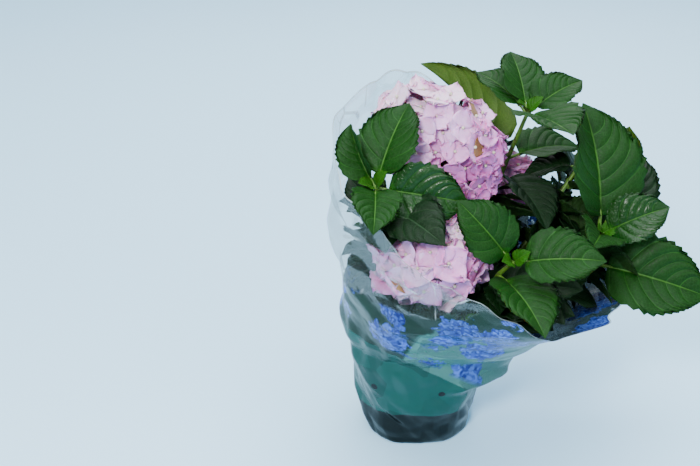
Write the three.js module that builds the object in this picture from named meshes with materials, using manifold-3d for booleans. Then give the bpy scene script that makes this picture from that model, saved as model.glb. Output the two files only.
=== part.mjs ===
// A potted hydrangea in its printed film sleeve: canes, masses of toothed leaves and round flower heads.
// Millimetres, +Z up. The origin is the centre of the pot's flat underside. +X runs to the right of the side
// that shows its flowers, and +Y to the back.
import * as THREE from 'three';
import Module from 'manifold-3d';

const wasm = await Module();
wasm.setup();

// Pot and soil
const POT_HEIGHT = 112;
const POT_FOOT_RADIUS = 52;
const POT_TOP_RADIUS = 67;
const POT_RIM_RADIUS = 70;
const POT_RIM_HEIGHT = 12;
const POT_WALL = 1.8;
const POT_SIDES = 35;
const SOIL_TOP = 98;
const SEAT_GAP = 0.3;

// Film sleeve: a cone round the pot that opens and leans with the crown
const FILM_FOOT = 2;
const FILM_SHOULDER = 96;
const FILM_FOOT_RADIUS = 57;
const FILM_NECK_RADIUS = 71.8;
const FILM_THICKNESS = 0.8;
const FILM_LEAN = [0.42, -0.16];
const FILM_COLUMNS = 36;
const FILM_POT_HEIGHTS = [FILM_FOOT, 36, 66, 80, FILM_SHOULDER, POT_HEIGHT];
const FILM_ROWS = [0.1, 0.25, 0.42, 0.6, 0.8, 1];
const FILM_FLARE = 0.85;
// A loose fold that stands out to the right, above the lower half of the pot
const FOLD = { angle: 342, width: 34, low: 66, full: 80, high: 112, end: 160, depth: 30 };
// The rim's radius and height every 30 degrees, from +X round by +Y
const RIM_RADIUS = [190, 215, 184, 168, 168, 176, 186, 154, 136, 133, 144, 158];
const RIM_HEIGHT = [180, 208, 250, 300, 348, 376, 340, 294, 254, 232, 190, 174];

// Canes and twigs
const CANE_FOOT_RADIUS = 5.4;
const CANE_FLARE = 1.35;
const CANE_TIP_RADIUS = 3.6;
const TWIG_RADIUS = 3.4;
const TWIG_TIP_RADIUS = 1.9;
const STUB = 7;
const CANE_STEPS = 5;
const CANE_BEND = 0.3;
const CANE_SIDES = 6;
const TWIG_SIDES = 5;

// Leaves, as parts of the blade's length
const PETIOLE = 0.16;
const PETIOLE_RADIUS = 1.6;
const HALF_BREADTH = 0.4;
const BLADE_ROUNDNESS = 0.5;
const BLADE_POINT = 0.85;
const BLADE_ROWS = [0.09, 0.3, 0.56, 0.82];
const RIB_THICKNESS = 2.6;
const SHOWN_DROOP = 35;
const SHOWN_FOLD = 16;
const BUD = { open: 24, length: 20, turns: [20, 200] };
// Rule-made pairs, from the twig's tip down, and how often a leaf may try again for a free place
const PAIR_LENGTH = [66, 84, 96, 100];
const PAIR_OPEN = [36, 56, 70, 78];
const TRIES = 14;
const SHORTER = 0.03;
const STRAY = 20;
const MORE_STRAY = 8;
// Clear space that a rule-made leaf keeps to other masses, to its own mass, to limbs and to the film
const MASS_GAP = 8;
const OWN_GAP = 6;
const LIMB_GAP = 6;
const FILM_GAP = 4;
// Near its twig a leaf may come closer than that
const FREE_FROM = 0.25;
const TEST_ROWS = 9;
const TEST_SIDES = [-1, -0.67, -0.33, 0, 0.33, 0.67, 1];

// Flower heads
const FLORET_RADIUS = 19;
const FLORET_DEPTH = 17;
const FLORET_NOTCH = 0.68;
const FLORET_EYE = 2;
const FLORET_GAP = 5;
const SMALLEST_FLORET = 7;
const FLORET_TILT = 0.5;
const FLORET_SEAT = 0.9;
const CORE_PART = 0.76;
const CORE_LEVELS = [-0.8, -0.32, 0.32, 0.8];
const CORE_SIDES = 9;

const GREEN = 0x2f6a35;
const YOUNG_GREEN = 0x6f9a3a;
const PINK = 0xe8b9d2;
const TEAL = 0x3c8580;
const BLACK = 0x1d201f;
const SOIL_BROWN = 0x3a2b20;

const vector = (list) => new THREE.Vector3(...list);
const radians = THREE.MathUtils.degToRad;

// One seeded run of numbers from 0 to 1
function seeded(seed) {
  let state = seed;
  return () => {
    state = (state * 1664525 + 1013904223) % 4294967296;
    return state / 4294967296;
  };
}

// The masses. Each has its cane's root on the soil and its foot, where its twigs start. A twig has its number
// of rule-made leaf pairs, and either its tip or its shown nodes. A shown leaf has its turn, opening, length
// and perhaps its fold, roll and droop.
const MASSES = [
  { name: 'left_leaves', seed: 11, root: [-20, -10], foot: [-24, -22, 190], twigs: [
    { pairs: 1, nodes: [{ at: [-49, -60, 304], axis: [-0.15, -0.5, 0.85],
      leaves: [[67, 62, 78, 16, -6], [276, 55, 62, 20, -20], [344, 89, 76, 16, 29],
        [118, 58, 58, 50, -38]] }] },
    { pairs: 2, tip: [-38, 26, 272] },
  ] },
  { name: 'top_leaves', seed: 12, root: [10, 12], foot: [58, 28, 205], twigs: [
    { pairs: 0, nodes: [
      { at: [83, 46, 270], axis: [0.3, 0.1, 0.95], leaves: [[298, 85, 80, 20, 4, 42]] },
      { at: [89, 50, 286], axis: [0.1, -0.1, 0.98],
        leaves: [[121, 64, 119, 80, 104, 50], [19, 72, 74]] },
      { at: [102, 34, 340], axis: [0.05, -0.3, 0.95],
        leaves: [[96, 63, 68, 16, 14, 28], [31, 60, 60], [126, 72, 66, 16, 7], [285, 56, 86, 16, 0, 16]] }] },
  ] },
  { name: 'right_leaves', seed: 13, root: [36, -2], foot: [100, -8, 165], twigs: [
    { pairs: 0, nodes: [
      { at: [169, -15, 200], axis: [0.5, -0.45, 0.7], leaves: [[327, 46, 104, 16, 32]] },
      { at: [174, -20, 234], axis: [0.3, -0.5, 0.8],
        leaves: [[108, 49, 115, 24], [14, 32, 64, 16, 8, 50], [225, 40, 64, 20, 12], [67, 62, 94]] }] },
    { pairs: 3, tip: [196, 66, 242] },
  ] },
  { name: 'front_leaves', seed: 14, root: [16, -26], foot: [50, -48, 165], twigs: [
    { pairs: 1, nodes: [
      { at: [67, -80, 224], axis: [0.05, -0.65, 0.75], leaves: [[298, 46, 80, 16, -24]] },
      { at: [77, -90, 242], axis: [0.05, -0.65, 0.75],
        leaves: [[140, 53, 69, 16, -8], [358, 58, 74, 16, -8]] }] },
    { pairs: 2, tip: [112, -52, 196] },
  ] },
  { name: 'middle_leaves', seed: 15, root: [24, -10], foot: [98, 4, 196], twigs: [
    { pairs: 1, nodes: [{ at: [162, 44, 280], axis: [0.3, -0.3, 0.9], leaves: [[170, 116, 54, 16, 6]] }] },
  ] },
  { name: 'back_leaves', seed: 16, root: [16, 30], foot: [66, 52, 185], twigs: [
    { pairs: 3, tip: [56, 86, 286] },
    { pairs: 3, tip: [152, 70, 240] },
  ] },
  { name: 'back_left_leaves', seed: 17, root: [-4, 24], foot: [6, 44, 190], twigs: [
    { pairs: 3, tip: [4, 76, 284] },
  ] },
  { name: 'inner_left_leaves', seed: 18, root: [-22, 8], foot: [-36, 6, 150], twigs: [
    { pairs: 3, tip: [-52, -4, 226] },
  ] },
  { name: 'inner_front_leaves', seed: 19, root: [4, -32], foot: [16, -50, 140], twigs: [
    { pairs: 2, tip: [36, -88, 174] },
  ] },
];

// The flower heads: cane's root and top, the middle, the three radii, how far the head leans over to the right
// in degrees, and the number of florets
const HEADS = [
  { name: 'upper_bloom', seed: 31, root: [-4, 2], foot: [18, 2, 236],
    middle: [17, 14, 315], radii: [70, 47, 51], lean: 38, florets: 40 },
  { name: 'lower_bloom', seed: 32, root: [-8, -22], foot: [-2, -40, 178],
    middle: [5, -70, 239], radii: [53, 49, 42], lean: 0, florets: 32 },
  { name: 'back_bloom', seed: 33, root: [36, 22], foot: [92, 66, 176],
    middle: [100, 84, 236], radii: [35, 35, 31], lean: 0, florets: 18 },
];
const LEAN_AXIS = new THREE.Vector3(0, 1, 0);

// A closed solid through rings of points that turn anticlockwise as seen from ahead. A ring of one point is a
// tip.
function loft(rings) {
  const points = rings.flat();
  const starts = [];
  rings.reduce((sum, ring) => (starts.push(sum), sum + ring.length), 0);
  const faces = [];
  for (let i = 0; i < rings.length - 1; i++) {
    joinRings(faces, starts[i], rings[i].length, starts[i + 1], rings[i + 1].length);
  }
  closeEnd(faces, starts[0], rings[0].length, true);
  closeEnd(faces, starts.at(-1), rings.at(-1).length, false);
  return { points, faces };
}

function joinRings(faces, a, countA, b, countB) {
  const count = Math.max(countA, countB);
  for (let j = 0; j < count; j++) {
    const next = (j + 1) % count;
    if (countA > 1) faces.push([a + j, a + next, b + (countB > 1 ? next : 0)]);
    if (countB > 1) faces.push([a + (countA > 1 ? j : 0), b + next, b + j]);
  }
}

function closeEnd(faces, start, count, first) {
  for (let j = 1; j < count - 1; j++) {
    faces.push(first ? [start, start + j + 1, start + j] : [start, start + j, start + j + 1]);
  }
}

function solid({ points, faces }) {
  const vertProperties = new Float32Array(points.flatMap((p) => [p.x, p.y, p.z]));
  const triVerts = new Uint32Array(faces.flat());
  return new wasm.Manifold(new wasm.Mesh({ numProp: 3, vertProperties, triVerts }));
}

// Joins solids and keeps the one body, so that no pocket or scrap is left
function fuse(shapes) {
  const whole = shapes.map(solid).reduce((sum, next) => sum.add(next));
  const bodies = whole.decompose();
  return bodies.reduce((best, body) => (body.volume() > best.volume() ? body : best));
}

function fromManifold(manifold) {
  const { numProp, vertProperties, triVerts } = manifold.getMesh();
  const geometry = new THREE.BufferGeometry();
  const positions = new Float32Array((vertProperties.length / numProp) * 3);
  for (let i = 0; i < positions.length / 3; i++) {
    for (let k = 0; k < 3; k++) positions[i * 3 + k] = vertProperties[i * numProp + k];
  }
  geometry.setAttribute('position', new THREE.BufferAttribute(positions, 3));
  geometry.setIndex([...triVerts]);
  geometry.computeVertexNormals();
  return geometry;
}

function circle(radius, height, sides) {
  return Array.from({ length: sides }, (_, j) => {
    const angle = (2 * Math.PI * j) / sides;
    return new THREE.Vector3(radius * Math.cos(angle), radius * Math.sin(angle), height);
  });
}

// The pot: tapered wall with a thicker rim, open at the top
function pot() {
  const shoulder = POT_HEIGHT - POT_RIM_HEIGHT;
  const ring = (radius, height) => circle(radius, height, POT_SIDES);
  return solid(loft([
    ring(POT_FOOT_RADIUS, 0),
    ring(POT_TOP_RADIUS, shoulder),
    ring(POT_RIM_RADIUS, shoulder),
    ring(POT_RIM_RADIUS, POT_HEIGHT),
    ring(POT_RIM_RADIUS - POT_WALL, POT_HEIGHT),
    ring(POT_TOP_RADIUS - POT_WALL, shoulder),
    ring(POT_FOOT_RADIUS - POT_WALL, POT_WALL),
  ]));
}

function soil() {
  const floor = POT_WALL + SEAT_GAP;
  const shoulder = POT_HEIGHT - POT_RIM_HEIGHT;
  const inside = (height) => POT_FOOT_RADIUS - POT_WALL - 2 * SEAT_GAP
    + ((POT_TOP_RADIUS - POT_FOOT_RADIUS) * (height - POT_WALL)) / (shoulder - POT_WALL);
  return solid(loft([
    circle(inside(floor), floor, POT_SIDES),
    circle(inside(SOIL_TOP), SOIL_TOP, POT_SIDES),
  ]));
}

// A smooth closed curve of values every 30 degrees
function around(values, angle) {
  const n = values.length;
  const place = ((((angle / (2 * Math.PI)) * n) % n) + n) % n;
  const i = Math.floor(place);
  const t = place - i;
  const [a, b, c, d] = [-1, 0, 1, 2].map((k) => values[(i + k + n) % n]);
  return b + 0.5 * t * (c - a + t * (2 * a - 5 * b + 4 * c - d + t * (3 * (b - c) + d - a)));
}

const filmCentre = (z) => FILM_LEAN.map((lean) => lean * Math.max(0, z - POT_HEIGHT));

// The film's radius about its leaning axis, at a height above the pot
function filmRadius(angle, z) {
  const part = (z - POT_HEIGHT) / (around(RIM_HEIGHT, angle) - POT_HEIGHT);
  const spread = around(RIM_RADIUS, angle) - FILM_NECK_RADIUS;
  return FILM_NECK_RADIUS + spread * Math.pow(Math.max(0, part), FILM_FLARE);
}

function filmFold(angle, z) {
  const away = angle - radians(FOLD.angle);
  const turn = Math.atan2(Math.sin(away), Math.cos(away)) / radians(FOLD.width);
  const { smoothstep } = THREE.MathUtils;
  return FOLD.depth * Math.exp(-turn * turn) * smoothstep(z, FOLD.low, FOLD.full)
    * (1 - smoothstep(z, FOLD.high, FOLD.end));
}

function filmPoint(angle, z, inset) {
  const centre = filmCentre(z);
  const low = Math.min(1, (z - FILM_FOOT) / (FILM_SHOULDER - FILM_FOOT));
  const potRadius = THREE.MathUtils.lerp(FILM_FOOT_RADIUS, FILM_NECK_RADIUS, low);
  const radius = filmFold(angle, z) + (z > POT_HEIGHT ? filmRadius(angle, z) : potRadius);
  return new THREE.Vector3(
    centre[0] + (radius - inset) * Math.cos(angle),
    centre[1] + (radius - inset) * Math.sin(angle),
    z,
  );
}

function filmRing(heightAt, inset) {
  return Array.from({ length: FILM_COLUMNS }, (_, j) => {
    const angle = (2 * Math.PI * j) / FILM_COLUMNS;
    return filmPoint(angle, heightAt(angle), inset);
  });
}

// The sleeve is open at its foot and at its rim. Its inner skin has the same triangles as its outer one,
// turned over, so that the thin wall never crosses itself.
function filmSleeve() {
  const low = FILM_POT_HEIGHTS.map((z) => () => z);
  const rise = (angle) => around(RIM_HEIGHT, angle) - POT_HEIGHT;
  const high = FILM_ROWS.map((part) => (angle) => POT_HEIGHT + part * rise(angle));
  const heights = [...low, ...high];
  const skins = [0, FILM_THICKNESS].map((inset) => heights.map((heightAt) => filmRing(heightAt, inset)));
  const skinSize = heights.length * FILM_COLUMNS;
  const faces = [];
  for (let i = 0; i < heights.length - 1; i++) {
    joinRings(faces, i * FILM_COLUMNS, FILM_COLUMNS, (i + 1) * FILM_COLUMNS, FILM_COLUMNS);
  }
  const turned = faces.map(([a, b, c]) => [a + skinSize, c + skinSize, b + skinSize]);
  faces.push(...turned);
  const top = skinSize - FILM_COLUMNS;
  joinRings(faces, skinSize, FILM_COLUMNS, 0, FILM_COLUMNS);
  joinRings(faces, top, FILM_COLUMNS, skinSize + top, FILM_COLUMNS);
  return solid({ points: skins.flat(2), faces });
}

// A limb through a row of points, its radius given for each
function limb(path, radii, sides) {
  const rings = path.map((point, i) => {
    const ahead = path[Math.min(i + 1, path.length - 1)];
    const behind = path[Math.max(i - 1, 0)];
    const along = ahead.clone().sub(behind).normalize();
    const side = new THREE.Vector3(1, 0, 0).projectOnPlane(along).normalize();
    const up = new THREE.Vector3().crossVectors(along, side);
    return Array.from({ length: sides }, (_, j) => {
      const angle = (2 * Math.PI * j) / sides;
      return point.clone()
        .addScaledVector(side, radii[i] * Math.cos(angle))
        .addScaledVector(up, radii[i] * Math.sin(angle));
    });
  });
  return loft(rings);
}

// A cane rises from the soil, bends to its mass and ends just short of the mass's first twig
function canePath(mass) {
  const [top, next] = twigPaths(mass)[0];
  const lean = next.clone().sub(top).normalize();
  const end = top.clone().addScaledVector(lean, -SEAT_GAP);
  const start = new THREE.Vector3(...mass.root, SOIL_TOP + SEAT_GAP);
  const rise = start.clone().add(new THREE.Vector3(0, 0, STUB));
  const bend = end.clone().addScaledVector(lean, -STUB);
  const reach = bend.distanceTo(rise);
  const curve = new THREE.CubicBezierCurve3(
    rise,
    rise.clone().add(new THREE.Vector3(0, 0, reach * CANE_BEND)),
    bend.clone().addScaledVector(lean, -reach * CANE_BEND),
    bend,
  );
  return [start, ...curve.getPoints(CANE_STEPS), end];
}

function cane(mass) {
  const path = canePath(mass);
  const radii = path.map((_, i) => {
    const radius = THREE.MathUtils.lerp(CANE_FOOT_RADIUS, CANE_TIP_RADIUS, i / (path.length - 1));
    return i === 0 ? radius * CANE_FLARE : radius;
  });
  return solid(limb(path, radii, CANE_SIDES));
}

const twigNodes = (twig) => (twig.nodes ? twig.nodes.map((node) => vector(node.at)) : [vector(twig.tip)]);

// Each twig's path, from the cane's top by one short stub through its nodes
function twigPaths(mass) {
  const foot = vector(mass.foot);
  const paths = mass.middle ? [[vector(mass.middle)]] : mass.twigs.map(twigNodes);
  const lean = new THREE.Vector3();
  for (const [first] of paths) lean.add(first.clone().sub(foot).normalize());
  const stub = foot.clone().addScaledVector(lean.normalize(), STUB);
  return paths.map((nodes) => [foot, stub, ...nodes]);
}

function twigSolid(path) {
  const radii = path.map((_, i) => THREE.MathUtils.lerp(TWIG_RADIUS, TWIG_TIP_RADIUS, i / (path.length - 1)));
  return limb(path, radii, TWIG_SIDES);
}

// A leaf's frame: it starts at a node, turned about the shoot's axis and opened away from it
function leafAt(mass, at, axis, [turn, open, length, fold = SHOWN_FOLD, roll = 0, droop = SHOWN_DROOP]) {
  const up = axis.clone().normalize();
  const side = new THREE.Vector3(1, 0, 0).projectOnPlane(up).normalize();
  const other = new THREE.Vector3().crossVectors(up, side);
  const mix = (a, partA, b, partB) => a.clone().multiplyScalar(partA).addScaledVector(b, partB);
  const outward = mix(side, Math.cos(radians(turn)), other, Math.sin(radians(turn)));
  const [sin, cos] = [Math.sin(radians(open)), Math.cos(radians(open))];
  const along = mix(up, cos, outward, sin);
  const face = mix(up, sin, outward, -cos).applyAxisAngle(along, radians(roll));
  const across = new THREE.Vector3().crossVectors(face, along);
  const base = at.clone().addScaledVector(along, PETIOLE * length);
  return { mass, at, base, along, face, across, length, droop: radians(droop), fold: radians(fold) };
}

const bladePeak = BLADE_ROUNDNESS / (BLADE_ROUNDNESS + BLADE_POINT);
const bladeOutline = (s) => Math.pow(s, BLADE_ROUNDNESS) * Math.pow(1 - s, BLADE_POINT);
const halfBreadth = (leaf, s) => (leaf.length * HALF_BREADTH * bladeOutline(s)) / bladeOutline(bladePeak);

const bladeNormal = (leaf, s) => leaf.face.clone().multiplyScalar(Math.cos(leaf.droop * s))
  .addScaledVector(leaf.along, Math.sin(leaf.droop * s));

// A point of the blade: s runs from the base to the tip, side from the left edge at -1 to the right at 1
function bladePoint(leaf, s, side) {
  const arc = leaf.length / leaf.droop;
  const breadth = halfBreadth(leaf, s) * side;
  return leaf.base.clone()
    .addScaledVector(leaf.along, arc * Math.sin(leaf.droop * s))
    .addScaledVector(leaf.face, -arc * (1 - Math.cos(leaf.droop * s)))
    .addScaledVector(leaf.across, breadth * Math.cos(leaf.fold))
    .addScaledVector(bladeNormal(leaf, s), Math.abs(breadth) * Math.sin(leaf.fold));
}

// The stalk starts inside the twig, and the blade is thick at its rib and thin at its edges
function leafSolid(leaf) {
  const stalk = (point) => [[1, 0], [0, 1], [-1, 0], [0, -1]].map(([x, y]) => point.clone()
    .addScaledVector(leaf.across, x * PETIOLE_RADIUS)
    .addScaledVector(leaf.face, y * PETIOLE_RADIUS));
  const rows = BLADE_ROWS.map((s) => {
    const normal = bladeNormal(leaf, s);
    const rib = bladePoint(leaf, s, 0);
    return [
      bladePoint(leaf, s, 1),
      rib.clone().addScaledVector(normal, RIB_THICKNESS / 2),
      bladePoint(leaf, s, -1),
      rib.clone().addScaledVector(normal, -RIB_THICKNESS / 2),
    ];
  });
  return loft([stalk(leaf.at), stalk(leaf.base), ...rows, [bladePoint(leaf, 1, 0)]]);
}

// The points that stand for a blade when its clearances are worked out
function testPoints(leaf) {
  const points = [];
  for (let i = 1; i <= TEST_ROWS; i++) {
    const s = i / TEST_ROWS;
    for (const side of TEST_SIDES) points.push({ s, at: bladePoint(leaf, s, side) });
  }
  return points;
}

// Points every few millimetres along the canes and twigs
function limbPoints() {
  const points = [];
  for (const mass of [...MASSES, ...HEADS]) {
    for (const path of [canePath(mass), ...twigPaths(mass)]) {
      for (let i = 1; i < path.length; i++) {
        const steps = Math.ceil(path[i].distanceTo(path[i - 1]) / LIMB_GAP);
        for (let k = 0; k <= steps; k++) {
          points.push({ mass: mass.name, at: path[i - 1].clone().lerp(path[i], k / steps) });
        }
      }
    }
  }
  return points;
}

// A leaf stays inside the film up to its rim, and clear of the pot's rim
function nearFilm(point) {
  if (point.z < POT_HEIGHT + FILM_GAP) return true;
  const [x, y] = filmCentre(point.z);
  const angle = Math.atan2(point.y - y, point.x - x);
  if (point.z > around(RIM_HEIGHT, angle) + FILM_GAP) return false;
  return Math.hypot(point.x - x, point.y - y) > filmRadius(angle, point.z) - FILM_GAP;
}

function inBloom(point) {
  return HEADS.some(({ middle, radii, lean }) => {
    const away = point.clone().sub(vector(middle)).applyAxisAngle(LEAN_AXIS, -radians(lean));
    return away.divide(vector(radii).addScalar(FILM_GAP)).length() < 1;
  });
}

// A rule-made leaf is left out where it would touch the film, a bloom, a limb or a leaf
function hasRoom(leaf, placed, limbs) {
  return testPoints(leaf).every(({ s, at }) => {
    if (nearFilm(at) || inBloom(at)) return false;
    const free = s > FREE_FROM;
    const near = (other, gap) => at.distanceToSquared(other.at) < gap * gap;
    if (limbs.some((other) => (free || other.mass !== leaf.mass) && near(other, LIMB_GAP))) return false;
    return !placed.some((other) => {
      if (other.mass !== leaf.mass) return near(other, MASS_GAP);
      return free && other.s > FREE_FROM && near(other, OWN_GAP);
    });
  });
}

// The leaves that the crown shows, and the small pair that ends each twig
function shownLeaves(mass) {
  const leaves = [];
  for (const twig of mass.twigs) {
    for (const node of twig.nodes ?? []) {
      const [at, axis] = [vector(node.at), vector(node.axis)];
      for (const shape of node.leaves) leaves.push(leafAt(mass.name, at, axis, shape));
    }
    const end = twigNodes(twig).at(-1);
    const axis = twig.nodes ? vector(twig.nodes.at(-1).axis) : end.clone().sub(vector(mass.foot));
    for (const turn of BUD.turns) leaves.push(leafAt(mass.name, end, axis, [turn, BUD.open, BUD.length]));
  }
  return leaves;
}

// The places for pairs of leaves up a twig, each a quarter turn on from the last
function leafPlaces(mass, random) {
  const places = [];
  for (const twig of mass.twigs) {
    const foot = vector(mass.foot);
    const end = twigNodes(twig)[0];
    const axis = end.clone().sub(foot);
    const first = 360 * random();
    for (let k = 1; k <= twig.pairs; k++) {
      const part = k / (twig.nodes ? twig.pairs + 1 : twig.pairs);
      const rank = twig.nodes ? twig.pairs + 1 - k : twig.pairs - k;
      for (const half of [0, 180]) {
        places.push({ at: foot.clone().lerp(end, part), axis, turn: first + 90 * k + half, rank });
      }
    }
  }
  return places;
}

// A leaf at such a place. Each new try strays further and is shorter.
function tryLeaf(mass, { at, axis, turn, rank }, tries, random) {
  const [a, b, c, d, e] = Array.from({ length: 5 }, random);
  const stray = STRAY + MORE_STRAY * tries;
  return leafAt(mass.name, at, axis, [
    turn + stray * (a - 0.5),
    PAIR_OPEN[rank] + stray * (b - 0.5),
    PAIR_LENGTH[rank] * (0.88 + 0.24 * c) * (1 - SHORTER * tries),
    12 + 10 * e,
    0,
    26 + 22 * d,
  ]);
}

function growLeaves() {
  const leaves = MASSES.flatMap(shownLeaves);
  const mark = (leaf) => testPoints(leaf).map((point) => ({ ...point, mass: leaf.mass }));
  const placed = leaves.flatMap(mark);
  const limbs = limbPoints();
  for (const mass of MASSES) {
    const random = seeded(mass.seed);
    for (const place of leafPlaces(mass, random)) {
      for (let tries = 0; tries < TRIES; tries++) {
        const leaf = tryLeaf(mass, place, tries, random);
        if (!hasRoom(leaf, placed, limbs)) continue;
        leaves.push(leaf);
        placed.push(...mark(leaf));
        break;
      }
    }
  }
  return leaves;
}

// A floret stands on the head like a shallow four-lobed funnel, its root inside the core
function floret(middle, outward, size, spin) {
  const side = new THREE.Vector3(1, 0, 0).projectOnPlane(outward).normalize();
  const up = new THREE.Vector3().crossVectors(outward, side);
  const ring = Array.from({ length: 8 }, (_, j) => {
    const angle = spin + (Math.PI * j) / 4;
    const radius = size * (j % 2 ? FLORET_NOTCH : 1);
    return middle.clone()
      .addScaledVector(side, radius * Math.cos(angle))
      .addScaledVector(up, radius * Math.sin(angle));
  });
  const root = middle.clone().addScaledVector(outward, -FLORET_DEPTH);
  const eye = middle.clone().addScaledVector(outward, FLORET_EYE);
  return loft([[root], ring, [eye]]);
}

// Even places all round a ball, from its top down
function ballPlaces(count) {
  return Array.from({ length: count }, (_, i) => {
    const z = 1 - (2 * (i + 0.5)) / count;
    const angle = i * Math.PI * (3 - Math.sqrt(5));
    const r = Math.sqrt(1 - z * z);
    return new THREE.Vector3(r * Math.cos(angle), r * Math.sin(angle), z);
  });
}

// A place on a head, from its way out of the head's middle before the head leans
function onHead({ middle, radii, lean }, way, part) {
  return way.clone().multiply(vector(radii)).multiplyScalar(part)
    .applyAxisAngle(LEAN_AXIS, radians(lean))
    .add(vector(middle));
}

function core(head) {
  const rings = CORE_LEVELS.map((level) => circle(Math.sqrt(1 - level * level), level, CORE_SIDES));
  const all = [[new THREE.Vector3(0, 0, -1)], ...rings, [new THREE.Vector3(0, 0, 1)]];
  return loft(all.map((ring) => ring.map((way) => onHead(head, way, CORE_PART))));
}

// The free space round a floret's middle, up to the nearest leaf or limb of another mass
function roomAt(head, middle, others) {
  const foreign = others.filter((other) => other.mass !== head.name);
  return Math.min(...foreign.map((other) => middle.distanceTo(other.at))) - FLORET_GAP;
}

function bloom(head, others) {
  const random = seeded(head.seed);
  const shapes = [core(head), twigSolid(twigPaths(head)[0])];
  for (const way of ballPlaces(head.florets)) {
    const [a, b, c, d] = Array.from({ length: 4 }, random);
    const tilt = new THREE.Vector3(a - 0.5, b - 0.5, 0).multiplyScalar(FLORET_TILT);
    const straight = way.clone().divide(vector(head.radii)).normalize();
    const outward = straight.applyAxisAngle(LEAN_AXIS, radians(head.lean)).add(tilt).normalize();
    const place = onHead(head, way, FLORET_SEAT + 0.08 * c);
    const size = Math.min(FLORET_RADIUS * (0.82 + 0.18 * d), roomAt(head, place, others));
    if (size > SMALLEST_FLORET) shapes.push(floret(place, outward, size, 2 * Math.PI * a));
  }
  return fuse(shapes);
}

function leafMass(mass, leaves) {
  const own = leaves.filter((leaf) => leaf.mass === mass.name);
  return fuse([...twigPaths(mass).map(twigSolid), ...own.map(leafSolid)]);
}

function named(name, manifold, color, roughness) {
  const mesh = new THREE.Mesh(fromManifold(manifold), new THREE.MeshStandardMaterial({ color, roughness }));
  mesh.name = name;
  return mesh;
}

const caneName = (name) => `${name.replace('_leaves', '')}_cane`;

const plant = new THREE.Group();
plant.add(named('pot', pot(), BLACK, 0.6));
plant.add(named('soil', soil(), SOIL_BROWN, 0.95));
plant.add(named('film_sleeve', filmSleeve(), TEAL, 0.15));

const leaves = growLeaves();
const leafMarks = leaves.flatMap((leaf) => testPoints(leaf).map(({ at }) => ({ mass: leaf.mass, at })));
const others = [...limbPoints(), ...leafMarks];
for (const mass of MASSES) {
  plant.add(named(caneName(mass.name), cane(mass), YOUNG_GREEN, 0.6));
  plant.add(named(mass.name, leafMass(mass, leaves), GREEN, 0.45));
}
for (const head of HEADS) {
  plant.add(named(caneName(head.name), cane(head), YOUNG_GREEN, 0.6));
  plant.add(named(head.name, bloom(head, others), PINK, 0.6));
}

export default plant;
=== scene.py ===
# A potted hydrangea in its printed film sleeve: the looks of its leaves, flower heads, canes, film and pot.
# The tables and rules of growth are in millimetres, as in the model. The meshes are in metres.
import math
import bpy
import numpy as np
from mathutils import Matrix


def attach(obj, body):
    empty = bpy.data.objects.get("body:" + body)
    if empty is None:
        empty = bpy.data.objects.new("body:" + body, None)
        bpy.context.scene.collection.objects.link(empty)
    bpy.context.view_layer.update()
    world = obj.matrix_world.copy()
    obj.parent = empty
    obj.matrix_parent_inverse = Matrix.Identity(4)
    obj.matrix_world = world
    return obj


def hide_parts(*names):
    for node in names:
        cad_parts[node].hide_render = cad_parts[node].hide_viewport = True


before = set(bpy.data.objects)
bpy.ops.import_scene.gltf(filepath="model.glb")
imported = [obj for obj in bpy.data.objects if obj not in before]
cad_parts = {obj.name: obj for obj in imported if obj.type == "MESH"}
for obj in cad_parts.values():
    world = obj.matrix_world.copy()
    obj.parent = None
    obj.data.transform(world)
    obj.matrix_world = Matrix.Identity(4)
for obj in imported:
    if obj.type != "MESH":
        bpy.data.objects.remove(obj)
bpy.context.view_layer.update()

MM = 0.001

# Pot, soil and film, as in the model
POT_HEIGHT = 112
POT_FOOT_RADIUS = 52
POT_TOP_RADIUS = 67
POT_RIM_RADIUS = 70
POT_RIM_HEIGHT = 12
POT_WALL = 1.8
SOIL_TOP = 98
SEAT_GAP = 0.3
FILM_FOOT = 2
FILM_SHOULDER = 96
FILM_FOOT_RADIUS = 57
FILM_NECK_RADIUS = 71.8
FILM_LEAN = (0.42, -0.16)
FILM_FLARE = 0.85
RIM_RADIUS = (190, 215, 184, 168, 168, 176, 186, 154, 136, 133, 144, 158)
RIM_HEIGHT = (180, 208, 250, 300, 348, 376, 340, 294, 254, 232, 190, 174)

# Canes and twigs, as in the model
CANE_FOOT_RADIUS = 5.4
CANE_FLARE = 1.35
CANE_TIP_RADIUS = 3.6
TWIG_RADIUS = 3.4
TWIG_TIP_RADIUS = 1.9
STUB = 7
CANE_STEPS = 5
CANE_BEND = 0.3

# Leaves, as in the model
PETIOLE = 0.16
PETIOLE_RADIUS = 1.6
HALF_BREADTH = 0.4
BLADE_ROUNDNESS = 0.5
BLADE_POINT = 0.85
SHOWN_DROOP = 35
SHOWN_FOLD = 16
BUD_OPEN = 24
BUD_LENGTH = 20
BUD_TURNS = (20, 200)
PAIR_LENGTH = (66, 84, 96, 100)
PAIR_OPEN = (36, 56, 70, 78)
PAIR_SIZE, PAIR_SIZES = 0.88, 0.24
PAIR_FOLD, PAIR_FOLDS = 12, 10
PAIR_DROOP, PAIR_DROOPS = 26, 22
TRIES = 14
SHORTER = 0.03
STRAY = 20
MORE_STRAY = 8
MASS_GAP = 8
OWN_GAP = 6
LIMB_GAP = 6
FILM_GAP = 4
FREE_FROM = 0.25
TEST_ROWS = 9
TEST_SIDES = (-1, -0.67, -0.33, 0, 0.33, 0.67, 1)

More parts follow.
